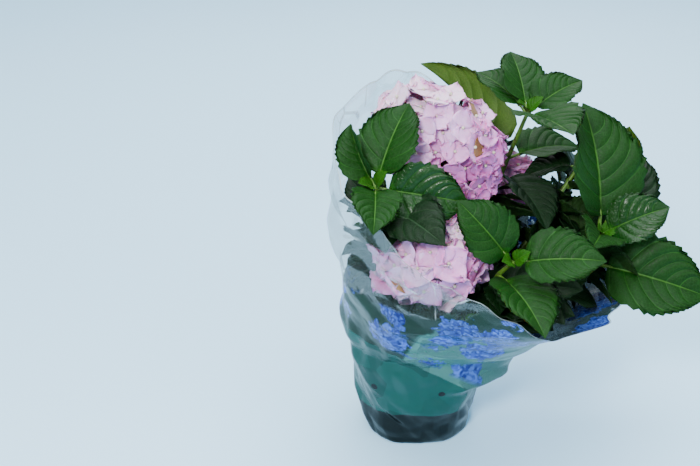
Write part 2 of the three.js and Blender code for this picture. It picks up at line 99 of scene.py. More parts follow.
# Small leaves that fill the crown between the others
FILL_LENGTH = (74, 60, 48, 38, 30)
FILL_OPEN = 64
FILL_STRAY = 50
FILL_SIZE, FILL_SIZES = 0.85, 0.3
FILL_FOLD = 14
FILL_DROOP = 30
FILL_SEED = 100
FILL_PLACES = 8
FILL_GAP = 3.0
FILL_TRIES = 20
FILL_TOP = 0.88
FILL_BELOW = 14
# Leaves whose base is lower than this get the dark tone: painted shade of the crown's lower part
SHADE_TOP = 205

# The masses, as in the model. A shown leaf has its turn, opening, length and perhaps fold, roll and droop.
MASSES = [
    dict(name="left_leaves", seed=11, root=(-20, -10), foot=(-24, -22, 190), twigs=[
        dict(pairs=1, nodes=[dict(at=(-49, -60, 304), axis=(-0.15, -0.5, 0.85), leaves=[
            (67, 62, 78, 16, -6), (276, 55, 62, 20, -20), (344, 89, 76, 16, 29), (118, 58, 58, 50, -38)])]),
        dict(pairs=2, tip=(-38, 26, 272)),
    ]),
    dict(name="top_leaves", seed=12, root=(10, 12), foot=(58, 28, 205), twigs=[
        dict(pairs=0, nodes=[
            dict(at=(83, 46, 270), axis=(0.3, 0.1, 0.95), leaves=[(298, 85, 80, 20, 4, 42)]),
            dict(at=(89, 50, 286), axis=(0.1, -0.1, 0.98), leaves=[
                (121, 64, 119, 80, 104, 50), (19, 72, 74)]),
            dict(at=(102, 34, 340), axis=(0.05, -0.3, 0.95), leaves=[
                (96, 63, 68, 16, 14, 28), (31, 60, 60), (126, 72, 66, 16, 7), (285, 56, 86, 16, 0, 16)])]),
    ]),
    dict(name="right_leaves", seed=13, root=(36, -2), foot=(100, -8, 165), twigs=[
        dict(pairs=0, nodes=[
            dict(at=(169, -15, 200), axis=(0.5, -0.45, 0.7), leaves=[(327, 46, 104, 16, 32)]),
            dict(at=(174, -20, 234), axis=(0.3, -0.5, 0.8), leaves=[
                (108, 49, 115, 24), (14, 32, 64, 16, 8, 50), (225, 40, 64, 20, 12), (67, 62, 94)])]),
        dict(pairs=3, tip=(196, 66, 242)),
    ]),
    dict(name="front_leaves", seed=14, root=(16, -26), foot=(50, -48, 165), twigs=[
        dict(pairs=1, nodes=[
            dict(at=(67, -80, 224), axis=(0.05, -0.65, 0.75), leaves=[(298, 46, 80, 16, -24)]),
            dict(at=(77, -90, 242), axis=(0.05, -0.65, 0.75), leaves=[
                (140, 53, 69, 16, -8), (358, 58, 74, 16, -8)])]),
        dict(pairs=2, tip=(112, -52, 196)),
    ]),
    dict(name="middle_leaves", seed=15, root=(24, -10), foot=(98, 4, 196), twigs=[
        dict(pairs=1, nodes=[dict(at=(162, 44, 280), axis=(0.3, -0.3, 0.9), leaves=[(170, 116, 54, 16, 6)])]),
    ]),
    dict(name="back_leaves", seed=16, root=(16, 30), foot=(66, 52, 185), twigs=[
        dict(pairs=3, tip=(56, 86, 286)),
        dict(pairs=3, tip=(152, 70, 240)),
    ]),
    dict(name="back_left_leaves", seed=17, root=(-4, 24), foot=(6, 44, 190), twigs=[
        dict(pairs=3, tip=(4, 76, 284)),
    ]),
    dict(name="inner_left_leaves", seed=18, root=(-22, 8), foot=(-36, 6, 150), twigs=[
        dict(pairs=3, tip=(-52, -4, 226)),
    ]),
    dict(name="inner_front_leaves", seed=19, root=(4, -32), foot=(16, -50, 140), twigs=[
        dict(pairs=2, tip=(36, -88, 174)),
    ]),
]

# The flower heads, as in the model, with the florets that show here
HEADS = [
    dict(name="upper_bloom", seed=31, root=(-4, 2), foot=(18, 2, 236), middle=(17, 14, 315),
         radii=(70, 47, 51), lean=38, florets=104),
    dict(name="lower_bloom", seed=32, root=(-8, -22), foot=(-2, -40, 178), middle=(5, -70, 239),
         radii=(53, 49, 42), lean=0, florets=76),
    dict(name="back_bloom", seed=33, root=(36, 22), foot=(92, 66, 176), middle=(100, 84, 236),
         radii=(35, 35, 31), lean=0, florets=40),
]


def srgb(red, green, blue):
    """A colour as it looks on a screen, 0 to 255 each, in the linear values that a shader takes."""
    def linear(value):
        part = value / 255
        return part / 12.92 if part <= 0.04045 else ((part + 0.055) / 1.055) ** 2.4
    return (linear(red), linear(green), linear(blue), 1.0)


def unit(v):
    return v / np.linalg.norm(v)


def vec(values):
    return np.array(values, dtype=float)


def seeded(seed):
    """One seeded run of numbers from 0 to 1, the same as the model's."""
    state = seed
    while True:
        state = (state * 1664525 + 1013904223) % 4294967296
        yield state / 4294967296


def around(values, angle):
    """A smooth closed curve of values every 30 degrees."""
    values = np.asarray(values, dtype=float)
    n = len(values)
    place = np.asarray(angle) / (2 * math.pi) * n % n
    i = np.floor(place).astype(int)
    t = place - i
    a, b, c, d = (values[(i + k) % n] for k in (-1, 0, 1, 2))
    return b + 0.5 * t * (c - a + t * (2 * a - 5 * b + 4 * c - d + t * (3 * (b - c) + d - a)))


def leaned(points, degrees):
    """Points turned over to the right, about the axis that runs to the back."""
    cos, sin = math.cos(math.radians(degrees)), math.sin(math.radians(degrees))
    x, y, z = points[..., 0], points[..., 1], points[..., 2]
    return np.stack([x * cos + z * sin, y, z * cos - x * sin], axis=-1)


def film_centre(z):
    rise = np.maximum(0, np.asarray(z, dtype=float) - POT_HEIGHT)
    return FILM_LEAN[0] * rise, FILM_LEAN[1] * rise


def film_radius(angle, z):
    """The film's radius about its leaning axis, at a height above the pot."""
    part = (z - POT_HEIGHT) / (around(RIM_HEIGHT, angle) - POT_HEIGHT)
    spread = around(RIM_RADIUS, angle) - FILM_NECK_RADIUS
    return FILM_NECK_RADIUS + spread * np.maximum(0, part) ** FILM_FLARE


# Growth of canes, twigs and leaves by the model's rule

def twig_nodes(twig):
    return [vec(node["at"]) for node in twig["nodes"]] if "nodes" in twig else [vec(twig["tip"])]


def twig_paths(mass):
    foot = vec(mass["foot"])
    paths = [[vec(mass["middle"])]] if "middle" in mass else [twig_nodes(twig) for twig in mass["twigs"]]
    lean = unit(sum(unit(nodes[0] - foot) for nodes in paths))
    return [[foot, foot + lean * STUB] + nodes for nodes in paths]


def cane_path(mass, steps=CANE_STEPS):
    top, after = twig_paths(mass)[0][:2]
    lean = unit(after - top)
    end = top - lean * SEAT_GAP
    start = vec((*mass["root"], SOIL_TOP + SEAT_GAP))
    rise = start + vec((0, 0, STUB))
    bend = end - lean * STUB
    reach = np.linalg.norm(bend - rise)
    second = rise + vec((0, 0, reach * CANE_BEND))
    third = bend - lean * reach * CANE_BEND
    curve = []
    for t in np.linspace(0, 1, steps + 1):
        u = 1 - t
        curve.append(u**3 * rise + 3 * u * u * t * second + 3 * u * t * t * third + t**3 * bend)
    return [start] + curve + [end]


class Leaf:
    """A leaf's frame: it starts at a node, turned about the shoot's axis and opened away from it."""

    def __init__(self, mass, at, axis, turn, opening, length, fold=SHOWN_FOLD, roll=0, droop=SHOWN_DROOP):
        up = unit(vec(axis))
        side = unit(vec((1, 0, 0)) - up * up[0])
        other = np.cross(up, side)
        turn, opening, roll = (math.radians(value) for value in (turn, opening, roll))
        outward = side * math.cos(turn) + other * math.sin(turn)
        self.along = up * math.cos(opening) + outward * math.sin(opening)
        face = up * math.sin(opening) - outward * math.cos(opening)
        self.face = face * math.cos(roll) + np.cross(self.along, face) * math.sin(roll)
        self.across = np.cross(self.face, self.along)
        self.mass = mass
        self.at = vec(at)
        self.length = length
        self.base = self.at + self.along * PETIOLE * length
        self.droop = math.radians(droop)
        self.fold = math.radians(fold)
        self.tone = "mid"
        self.grid = FINE

    def breadth(self, s):
        peak = BLADE_ROUNDNESS / (BLADE_ROUNDNESS + BLADE_POINT)
        widest = peak**BLADE_ROUNDNESS * (1 - peak) ** BLADE_POINT
        s = np.clip(s, 0, 1)
        return self.length * HALF_BREADTH * s**BLADE_ROUNDNESS * (1 - s) ** BLADE_POINT / widest

    def normal(self, s):
        s = np.asarray(s, dtype=float)[..., None]
        return self.face * np.cos(self.droop * s) + self.along * np.sin(self.droop * s)

    def point(self, s, side):
        """Points of the blade: s runs from the base to the tip, side from -1 to 1 across it."""
        s, side = np.broadcast_arrays(np.asarray(s, dtype=float), np.asarray(side, dtype=float))
        arc = self.length / self.droop
        bend = (self.droop * s)[..., None]
        reach = (self.breadth(s) * side)[..., None]
        rib = self.base + self.along * arc * np.sin(bend) - self.face * arc * (1 - np.cos(bend))
        lift = np.abs(reach) * math.sin(self.fold)
        return rib + self.across * reach * math.cos(self.fold) + self.normal(s) * lift


TEST_S = np.repeat(np.arange(1, TEST_ROWS + 1) / TEST_ROWS, len(TEST_SIDES))
TEST_SIDE = np.tile(TEST_SIDES, TEST_ROWS)


class Crown:
    """What has been placed so far, and the test of whether another leaf has room."""

    def __init__(self):
        self.leaves = []
        points, owners = [], []
        for mass in MASSES + HEADS:
            for path in [cane_path(mass)] + twig_paths(mass):
                for a, b in zip(path, path[1:]):
                    steps = math.ceil(np.linalg.norm(b - a) / LIMB_GAP)
                    for k in range(steps + 1):
                        points.append(a + (b - a) * k / steps)
                        owners.append(mass["name"])
        self.limbs = np.array(points)
        self.limb_owners = np.array(owners)

    def add(self, leaf):
        leaf.marks = leaf.point(TEST_S, TEST_SIDE)
        self.leaves.append(leaf)

    def has_room(self, leaf, mass_gap=MASS_GAP, own_gap=OWN_GAP, limb_gap=LIMB_GAP):
        points = leaf.point(TEST_S, TEST_SIDE)
        if near_film(points).any() or in_bloom(points).any():
            return False
        free = TEST_S > FREE_FROM
        foreign = self.limb_owners != leaf.mass
        if nearest(points, self.limbs[foreign]) < limb_gap:
            return False
        if nearest(points[free], self.limbs) < limb_gap:
            return False
        for other in self.leaves:
            if np.linalg.norm(other.base - leaf.base) > other.length + leaf.length + mass_gap:
                continue
            if other.mass != leaf.mass:
                if nearest(points, other.marks) < mass_gap:
                    return False
            elif nearest(points[free], other.marks[free]) < own_gap:
                return False
        return True


def nearest(points, others):
    away = points[:, None, :] - others[None, :, :]
    return math.sqrt((away**2).sum(axis=2).min())


def near_film(points):
    x, y = film_centre(points[:, 2])
    angle = np.arctan2(points[:, 1] - y, points[:, 0] - x)
    outside = np.hypot(points[:, 0] - x, points[:, 1] - y) > film_radius(angle, points[:, 2]) - FILM_GAP
    over = points[:, 2] > around(RIM_HEIGHT, angle) + FILM_GAP
    return (points[:, 2] < POT_HEIGHT + FILM_GAP) | (outside & ~over)


def in_bloom(points):
    inside = np.zeros(len(points), dtype=bool)
    for head in HEADS:
        away = leaned(points - vec(head["middle"]), -head["lean"]) / (vec(head["radii"]) + FILM_GAP)
        inside |= np.linalg.norm(away, axis=1) < 1
    return inside


def shown_leaves(mass):
    leaves = []
    for twig in mass["twigs"]:
        for node in twig.get("nodes", []):
            leaves += [Leaf(mass["name"], node["at"], node["axis"], *shape) for shape in node["leaves"]]
        end = twig_nodes(twig)[-1]
        axis = twig["nodes"][-1]["axis"] if "nodes" in twig else end - vec(mass["foot"])
        for turn in BUD_TURNS:
            bud = Leaf(mass["name"], end, axis, turn, BUD_OPEN, BUD_LENGTH)
            bud.tone = "young"
            bud.grid = COARSE
            leaves.append(bud)
    return leaves


def leaf_places(mass, random):
    """The places for pairs of leaves up a twig, each a quarter turn on from the last."""
    places = []
    foot = vec(mass["foot"])
    for twig in mass["twigs"]:
        end = twig_nodes(twig)[0]
        first = 360 * next(random)
        pairs = twig["pairs"]
        for k in range(1, pairs + 1):
            ended = "nodes" in twig
            part = k / (pairs + 1 if ended else pairs)
            rank = pairs + 1 - k if ended else pairs - k
            for half in (0, 180):
                places.append((foot + (end - foot) * part, end - foot, first + 90 * k + half, rank))
    return places


def grow_pairs(crown, mass):
    random = seeded(mass["seed"])
    for at, axis, turn, rank in leaf_places(mass, random):
        for tries in range(TRIES):
            a, b, c, d, e = (next(random) for _ in range(5))
            stray = STRAY + MORE_STRAY * tries
            leaf = Leaf(mass["name"], at, axis, turn + stray * (a - 0.5), PAIR_OPEN[rank] + stray * (b - 0.5),
                        PAIR_LENGTH[rank] * (PAIR_SIZE + PAIR_SIZES * c) * (1 - SHORTER * tries),
                        PAIR_FOLD + PAIR_FOLDS * e, 0, PAIR_DROOP + PAIR_DROOPS * d)
            # A leaf low in the crown is painted in the dark tone, as shade
            if leaf.base[2] < SHADE_TOP:
                leaf.tone = "dark"
            if crown.has_room(leaf):
                crown.add(leaf)
                break


def fill_crown(crown, mass):
    """Small leaves along the twigs, wherever the others leave room."""
    random = seeded(mass["seed"] + FILL_SEED)
    for path in twig_paths(mass):
        for size in FILL_LENGTH:
            for k in range(FILL_PLACES):
                part = FILL_TOP * (k + next(random)) / FILL_PLACES
                at = path[1] + (path[2] - path[1]) * part
                for _ in range(FILL_TRIES):
                    a, b, c = (next(random) for _ in range(3))
                    opening = FILL_OPEN + FILL_STRAY * (b - 0.5)
                    length = size * (FILL_SIZE + FILL_SIZES * c)
                    leaf = Leaf(mass["name"], at, path[2] - path[1], 360 * a, opening, length,
                                FILL_FOLD, 0, FILL_DROOP)
                    # The filling leaves sit deep in the crown and are painted in the dark tone, as shade
                    leaf.tone = "dark"
                    leaf.grid = COARSE
                    hidden = leaf.point(1.0, 0.0)[2] < path[2][2] - FILL_BELOW
                    if hidden and crown.has_room(leaf, FILL_GAP, FILL_GAP, FILL_GAP):
                        crown.add(leaf)
                        break


def grow_crown():
    crown = Crown()
    for mass in MASSES:
        for leaf in shown_leaves(mass):
            crown.add(leaf)
    for mass in MASSES:
        grow_pairs(crown, mass)
    for mass in MASSES:
        fill_crown(crown, mass)
    return crown


# Meshes from arrays

class Heap:
    """Vertices, faces and their materials, gathered for one joined piece."""

    def __init__(self):
        self.points, self.faces, self.slots = [], [], []
        self.count = 0

    def add(self, points, faces, slots):
        """Adds a mesh, with one material or a list of each face's."""
        self.points.append(points)
        self.faces += [[self.count + i for i in face] for face in faces]
        self.slots += [slots] * len(faces) if isinstance(slots, int) else slots
        self.count += len(points)

    def piece(self, name, materials, slot, nodes):
        mesh = bpy.data.meshes.new(name)
        mesh.from_pydata((np.concatenate(self.points) * MM).tolist(), [], self.faces)
        for material in materials:
            mesh.materials.append(material)
        mesh.polygons.foreach_set("material_index", self.slots)
        mesh.polygons.foreach_set("use_smooth", [True] * len(self.faces))
        mesh.update()
        piece = bpy.data.objects.new(name, mesh)
        bpy.context.scene.collection.objects.link(piece)
        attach(piece, "root")
        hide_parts(*nodes)
        return piece


def sheet_faces(rows, cols):
    """The faces of a thin solid between two grids of points, all but its ends.

    Each face's corners come with its row, its column and which skin it is on.
    """
    under = rows * cols
    faces = {}
    for r in range(rows - 1):
        a, b = r * cols, (r + 1) * cols
        for c in range(cols - 1):
            faces[a + c, b + c, b + c + 1, a + c + 1] = (r, c, "top")
            faces[under + a + c, under + a + c + 1, under + b + c + 1, under + b + c] = (r, c, "bottom")
        faces[a, under + a, under + b, b] = (r, 0, "edge")
        a, b = a + cols - 1, b + cols - 1
        faces[b, under + b, under + a, a] = (r, cols - 1, "edge")
    return faces


def end_faces(rows, cols, pointed):
    """The faces that close the sheet's first row and its last, which may run to one tip."""
    under, last = rows * cols, (rows - 1) * cols
    tip = 2 * under
    faces = {}
    for c in range(cols - 1):
        faces[c, c + 1, under + c + 1, under + c] = (0, c, "edge")
        if pointed:
            faces[last + c, tip, last + c + 1] = (rows - 1, c, "top")
            faces[under + last + c + 1, tip, under + last + c] = (rows - 1, c, "bottom")
        else:
            faces[last + c + 1, last + c, under + last + c, under + last + c + 1] = (rows - 1, c, "edge")
    if pointed:
        faces[last, under + last, tip] = (rows - 1, 0, "edge")
        faces[last + cols - 1, tip, under + last + cols - 1] = (rows - 1, cols - 1, "edge")
    return faces


def closed_sheet(*grids):
    """A thin solid between an upper and a lower grid of points, with perhaps a tip as the third."""
    rows, cols = grids[0].shape[:2]
    faces = sheet_faces(rows, cols) | end_faces(rows, cols, len(grids) > 2)
    return np.concatenate([grid.reshape(-1, 3) for grid in grids]), list(faces), list(faces.values())


def ring_angles(sides):
    return np.arange(sides) * 2 * math.pi / sides


def ring_solid(rings):
    """A solid through rings of points, closed by a flat face at each end."""
    sides = len(rings[0])
    faces = []
    for r in range(len(rings) - 1):
        for j in range(sides):
            k = (j + 1) % sides
            faces.append((r * sides + j, r * sides + k, (r + 1) * sides + k, (r + 1) * sides + j))
    last = (len(rings) - 1) * sides
    faces.append(tuple(range(sides))[::-1])
    faces.append(tuple(last + j for j in range(sides)))
    return np.concatenate(rings), faces


def tube(path, radii, sides, relief=None):
    """A closed tube along a path. relief gives a factor on the radius by ring and angle."""
    path = [vec(point) for point in path]
    angle = ring_angles(sides)
    side = vec((1, 0, 0))
    rings = []
    for i, point in enumerate(path):
        along = unit(path[min(i + 1, len(path) - 1)] - path[max(i - 1, 0)])
        side = unit(side - along * np.dot(side, along))
        up = np.cross(along, side)
        size = radii[i] * (relief(i, angle) if relief else np.ones(sides))
        rings.append(point + (np.cos(angle) * size)[:, None] * side + (np.sin(angle) * size)[:, None] * up)
    return ring_solid(rings)


def stepped_path(nodes):
    """The same straight run of nodes, with a point every few millimetres."""
    path = [nodes[0]]
    for a, b in zip(nodes, nodes[1:]):
        count = max(1, round(np.linalg.norm(b - a) / PATH_STEP))
        path += [a + (b - a) * k / count for k in range(1, count + 1)]
    return path


# Leaf meshes. Depths and heights are in parts of the blade's length.

FIRST_VEIN = 0.035
LAST_VEIN = 0.7
VEIN_SLANT = 2.0
VEIN_ARCH = 1.5
VEIN_FADE = 1.6
VEIN_HALF_WIDTH = 0.024
MARGIN_POWER = 9
BLADE_START = 0.012
BLADE_END = 0.995
TOOTH_FROM = 0.86
TOOTH_DEPTH = 0.12
TOOTH_INSET = 0.6
TOOTH_LEAN = 0.01
TOOTH_GROWTH = 6
TOOTH_DECLINE = 5
TIP_START = 0.76
TIP_PINCH = 0.45
TIP_POWER = 1.5
QUILT = 0.024
GLOSSY_QUILT = 0.03
QUILT_ALONG = 0.7
QUILT_ACROSS = 0.45
QUILT_FALL = 0.7
TROUGH = 0.018
TROUGH_WIDTH = 0.05
EDGE_WAVE = 0.022
EDGE_WAVES = 2.3
EDGE_SHIFT = 0.35
WAVE_END = 4
USUAL_LENGTH = 80
LEAF_THICKNESS = 0.55
EDGE_THINNING = 0.5
RIB_DEPTH = 1.5
RIB_WIDTH = 0.07
TINT_SLANT = 0.12
YOUNG_BASE = 0.055
FRESH_BASE = 0.12
TINTED_LENGTH = 90

STALK_SAG = 0.012
STALK_POINTS = (0.35, 0.75)
STALK_SEAT = 0.8
STALK_REACH = 0.06
STALK_UNDER = 1.2
STALK_SIZES = (1.5, 1.1, 1, 0.95, 0.5)
STALK_LEAST, STALK_MOST = 0.45, 1.15
STALK_SIDES = 8


class LeafGrid:
    """A blade's rows and columns. The rows follow the side veins, each a narrow strip of faces."""

    def __init__(self, veins, inner_steps, sides):
        self.steps = (0, VEIN_HALF_WIDTH, *inner_steps, 1 - VEIN_HALF_WIDTH)
        starts = np.linspace(FIRST_VEIN, LAST_VEIN, veins)
        ends = np.append(starts[1:], 1.0)
        rows = [(start + (end - start) * part, part)
                for start, end in zip(starts, ends) for part in self.steps]
        self.place = np.array([BLADE_START] + [place for place, _ in rows])
        self.last_vein_row = len(self.steps) * (veins - 1) + 1
        self.columns = np.array([-side for side in sides[::-1]] + [0.0] + list(sides))
        self.middle = len(sides)
        self.shape(np.array([0.5] + [part for _, part in rows]))

    def shape(self, part):
        """Each point's place along and across the blade, with teeth and a drawn-out tip, and its relief.

        part runs from 0 to 1 between one side vein and the next.
        """
        place = self.place[:, None]
        side = np.abs(self.columns)[None, :]
        even = np.linspace(BLADE_START, self.place[-1], len(self.place))[:, None]
        start = place + (even - place) * side**MARGIN_POWER
        s = start + VEIN_SLANT * start * (1 - start) ** VEIN_FADE * side**VEIN_ARCH
        tooth = (np.arange(len(self.place)) % 2)[:, None]
        margin = np.clip((side - TOOTH_FROM) / (1 - TOOTH_FROM), 0, 1)
        depth = TOOTH_DEPTH * np.minimum(1, TOOTH_DECLINE * (1 - place)) * np.minimum(1, TOOTH_GROWTH * place)
        self.s = np.minimum(BLADE_END, s + TOOTH_LEAN * margin * tooth)
        pinch = 1 - TIP_PINCH * np.clip((self.s - TIP_START) / (1 - TIP_START), 0, 1) ** TIP_POWER
        self.width = self.columns[None, :] * pinch * (1 + depth * margin * (tooth - TOOTH_INSET))
        rise = np.sin(math.pi * part)[:, None] ** QUILT_ALONG * side**QUILT_ACROSS
        self.quilt = rise * (1 - QUILT_FALL * side**3) * (1 - place**3)
        self.trough = TROUGH * np.exp(-((side / TROUGH_WIDTH) ** 2)) * (1 - place)


FINE = LeafGrid(6, (0.2, 0.4, 0.6, 0.8), (0.018, 0.09, 0.2, 0.33, 0.47, 0.61, 0.75, 0.87, 0.95, 1.0))
COARSE = LeafGrid(5, (0.33, 0.67), (0.03, 0.25, 0.5, 0.75, 0.92, 1.0))


def leaf_surface(leaf, phase):
    """The upper skin's points and the way out of it."""
    grid = leaf.grid
    side = np.abs(grid.columns)[None, :]
    hand = np.sign(grid.columns)[None, :]
    points = leaf.point(grid.s, grid.width)
    out = leaf.normal(grid.s) * math.cos(leaf.fold) - hand[..., None] * leaf.across * math.sin(leaf.fold)
    wave = side**2 * np.sin(2 * math.pi * (EDGE_WAVES * grid.s + phase + EDGE_SHIFT * hand))
    wave = EDGE_WAVE * wave * np.minimum(1, WAVE_END * (1 - grid.s))
    quilt = (GLOSSY_QUILT if leaf.tone == "gloss" else QUILT) * grid.quilt
    height = leaf.length * (quilt - grid.trough + wave)
    return points + out * height[..., None], out


def leaf_slot(leaf, row, col, skin):
    """The material of one face of a blade: its veins, its fresh base, or its own tone."""
    grid = leaf.grid
    # A leaf in the dark tone takes the darker underside and veins: painted shade
    dark = leaf.tone == "dark"
    if skin == "bottom":
        return "dark_under" if dark else "under"
    from_rib = abs(col + 0.5 - grid.middle)
    if from_rib < 1:
        return "shaded_vein" if dark else "rib"
    step = (row - 1) % len(grid.steps)
    if 0 < row <= grid.last_vein_row and step in (0, len(grid.steps) - 1) and from_rib < grid.middle - 2:
        return "shaded_vein" if dark else "vein"
    if leaf.tone in ("mid", "gloss") and leaf.length < TINTED_LENGTH:
        next_col = min(col + 1, len(grid.columns) - 1)
        reach = grid.place[row] + TINT_SLANT * abs(grid.columns[col] + grid.columns[next_col])
        if reach < YOUNG_BASE:
            return "young"
        if reach < FRESH_BASE:
            return "fresh"
    return leaf.tone


def add_leaf(heap, leaf, phase):
    top, out = leaf_surface(leaf, phase)
    columns = leaf.grid.columns[None, :]
    rib = np.exp(-((columns / RIB_WIDTH) ** 2)) * (1 - leaf.grid.place[:, None])
    thickness = LEAF_THICKNESS * (1 - EDGE_THINNING * columns**2)
    thickness = thickness + RIB_DEPTH * rib * leaf.length / USUAL_LENGTH
    bottom = top - out * thickness[..., None]
    points, faces, where = closed_sheet(top, bottom, leaf.point(1.0, 0.0))
    heap.add(points, faces, [LEAF_TONES.index(leaf_slot(leaf, *place)) for place in where])


def leaf_stalk(leaf):
    """The petiole, from inside the twig to under the blade's first veins."""
    sag = leaf.face * leaf.length * STALK_SAG
    between = [leaf.at + (leaf.base - leaf.at) * part - sag for part in STALK_POINTS]
    under = leaf.point(STALK_REACH, 0) - leaf.face * STALK_UNDER
    path = [leaf.at, *between, leaf.base - leaf.face * STALK_SEAT, under]
    size = PETIOLE_RADIUS * min(STALK_MOST, max(STALK_LEAST, leaf.length / USUAL_LENGTH))
    return tube(path, [size * part for part in STALK_SIZES], STALK_SIDES)


# Materials. Scales are in cells or waves to the metre.

class Shader:
    """A material's nodes, with short calls for the kinds that are used here."""

    def __init__(self, name):
        self.material = bpy.data.materials.new(name)
        self.material.use_nodes = True
        self.nodes = self.material.node_tree.nodes
        self.links = self.material.node_tree.links
        self.surface = self.nodes["Principled BSDF"]

    def node(self, kind, inputs=None, **settings):
        node = self.nodes.new(kind)
        for key, value in settings.items():
            setattr(node, key, value)
        for key, value in (inputs or {}).items():
            self.feed(node.inputs[key], value)
        return node

    def feed(self, socket, value):
        if isinstance(value, bpy.types.NodeSocket):
            self.links.new(value, socket)
        else:
            socket.default_value = value

    def math(self, operation, a, b=0.0, clamp=False):
        return self.node("ShaderNodeMath", {0: a, 1: b}, operation=operation, use_clamp=clamp).outputs[0]

    def times(self, a, b):
        return self.math("MULTIPLY", a, b)

    def mix(self, factor, a, b):
        node = self.node("ShaderNodeMix", data_type="RGBA")
        for name, value in (("Factor_Float", factor), ("A_Color", a), ("B_Color", b)):
            self.feed(next(socket for socket in node.inputs if socket.identifier == name), value)
        return next(socket for socket in node.outputs if socket.identifier == "Result_Color")

    def place(self):
        return self.node("ShaderNodeTexCoord").outputs["Object"]

    def mapped(self, scale, turn=(0.0, 0.0, 0.0), vector=None):
        """The place on the object, turned and stretched."""
        inputs = {"Vector": vector or self.place(), "Rotation": turn, "Scale": scale}
        return self.node("ShaderNodeMapping", inputs).outputs[0]

    def noise(self, scale, detail=3.0, vector=None):
        inputs = {"Vector": vector or self.place(), "Scale": scale, "Detail": detail}
        return self.node("ShaderNodeTexNoise", inputs).outputs[0]

    def cells(self, scale, vector=None, **inputs):
        inputs.update({"Vector": vector or self.place(), "Scale": scale})
        return self.node("ShaderNodeTexVoronoi", inputs)

    def cell_edges(self, scale, vector=None):
        """How far each place is from the border of its cell."""
        node = self.cells(scale, vector)
        node.feature = "DISTANCE_TO_EDGE"
        return node.outputs["Distance"]

    def first(self, vector):
        return self.node("ShaderNodeSeparateXYZ", {"Vector": vector}).outputs[0]

    def above(self, value, edge, softness):
        """0 below the edge and 1 above it."""
        return self.math("DIVIDE", self.math("SUBTRACT", value, edge - softness / 2), softness, clamp=True)

    def below(self, value, edge, softness):
        """1 below the edge and 0 above it."""
        return self.math("SUBTRACT", 1.0, self.above(value, edge, softness))

    def bump(self, height, distance, strength=1.0):
        node = self.node("ShaderNodeBump", {"Height": height, "Distance": distance, "Strength": strength})
        self.feed(self.surface.inputs["Normal"], node.outputs[0])

    def set(self, **values):
        for name, value in values.items():
            self.feed(self.surface.inputs[name.replace("_", " ")], value)


def shade(color, factor, lift=0.0):
    """A lighter or darker tone of a colour."""
    return tuple(min(1.0, factor * value + lift) for value in color[:3]) + (1.0,)


def leaf_material(name, color, roughness=0.5, coat=0.0, specular=0.14):
    """A blade with its finest net of veins and a slight mottle."""
    shader = Shader(name)
    net = shader.math("MULTIPLY", shader.cell_edges(300.0), 9.0, clamp=True)
    blotched = shader.mix(shader.above(shader.noise(55.0), 0.5, 0.5), shade(color, 0.7), color)
    edge = shader.times(shader.math("SUBTRACT", 1.0, net), 0.5)
    shader.set(Base_Color=shader.mix(edge, blotched, shade(color, 1.45, 0.004)), Roughness=roughness,
               Specular_IOR_Level=specular, Coat_Weight=coat, Coat_Roughness=0.2,
               Subsurface_Weight=0.06, Subsurface_Scale=0.001)
    shader.bump(net, 0.0003, 0.5)
    return shader.material


def vein_material(name, color):
    shader = Shader(name)
    shader.set(Base_Color=shader.mix(shader.above(shader.noise(90.0), 0.5, 0.4), shade(color, 0.7), color),
               Roughness=0.5, Specular_IOR_Level=0.2)
    return shader.material


def stem_material(name, color, dark, speck_scale=260.0):
    """A green stem with darker specks and a fine relief."""
    shader = Shader(name)
    specks = shader.above(shader.noise(speck_scale, 2.0), 0.6, 0.08)
    shader.set(Base_Color=shader.mix(specks, color, dark), Roughness=0.5)
    shader.bump(shader.noise(speck_scale * 2, 4.0), 0.0003, 0.7)
    return shader.material


def petal_material(name, color, streak):
    """A sepal with faint branching veins and a soft sheen."""
    shader = Shader(name)
    veins = shader.above(shader.noise(300.0, 4.0), 0.56, 0.12)
    shader.set(Base_Color=shader.mix(shader.times(veins, 0.4), color, streak), Roughness=0.55,
               Subsurface_Weight=0.25, Subsurface_Scale=0.002, Sheen_Weight=0.2, Sheen_Roughness=0.4)
    shader.bump(shader.noise(380.0, 4.0), 0.0003, 0.6)
    return shader.material


# Each leaf tone's colour and perhaps its roughness, coat and specular level, and each petal tone's
# colour and that of its veins.
# The three dark tones, of the blade, its underside and its veins, are painted shade: darker copies for the
# leaves in the crown's shade.
LEAF_LOOKS = {tone: leaf_material("leaf_" + tone, srgb(*color), *finish) for tone, color, *finish in (
    ("mid", (14, 57, 8)),
    ("dark", (7, 34, 9), 0.46),
    ("fresh", (22, 72, 6)),
    ("young", (34, 86, 5)),
    ("gloss", (17, 57, 13), 0.3, 0.06, 0.2),
    ("under", (54, 80, 13), 0.6),
    ("dark_under", (24, 50, 15), 0.6),
)}
for tone, color in (("vein", (27, 80, 15)), ("rib", (52, 100, 26)), ("shaded_vein", (15, 50, 16))):
    LEAF_LOOKS[tone] = vein_material("leaf_" + tone, srgb(*color))
LEAF_TONES = list(LEAF_LOOKS)
PETAL_LOOKS = {tone: petal_material("petal_" + tone, srgb(*color), srgb(*streak)) for tone, color, streak in (
    ("pale", (236, 178, 224), (222, 146, 208)),
    ("pink", (232, 156, 212), (214, 122, 192)),
    ("rose", (222, 130, 202), (198, 96, 176)),
    ("cream", (238, 200, 224), (226, 166, 204)),
    ("dry", (150, 112, 66), (112, 78, 44)),
    ("deep", (202, 98, 176), (174, 70, 148)),
)}
PETAL_TONES = list(PETAL_LOOKS)
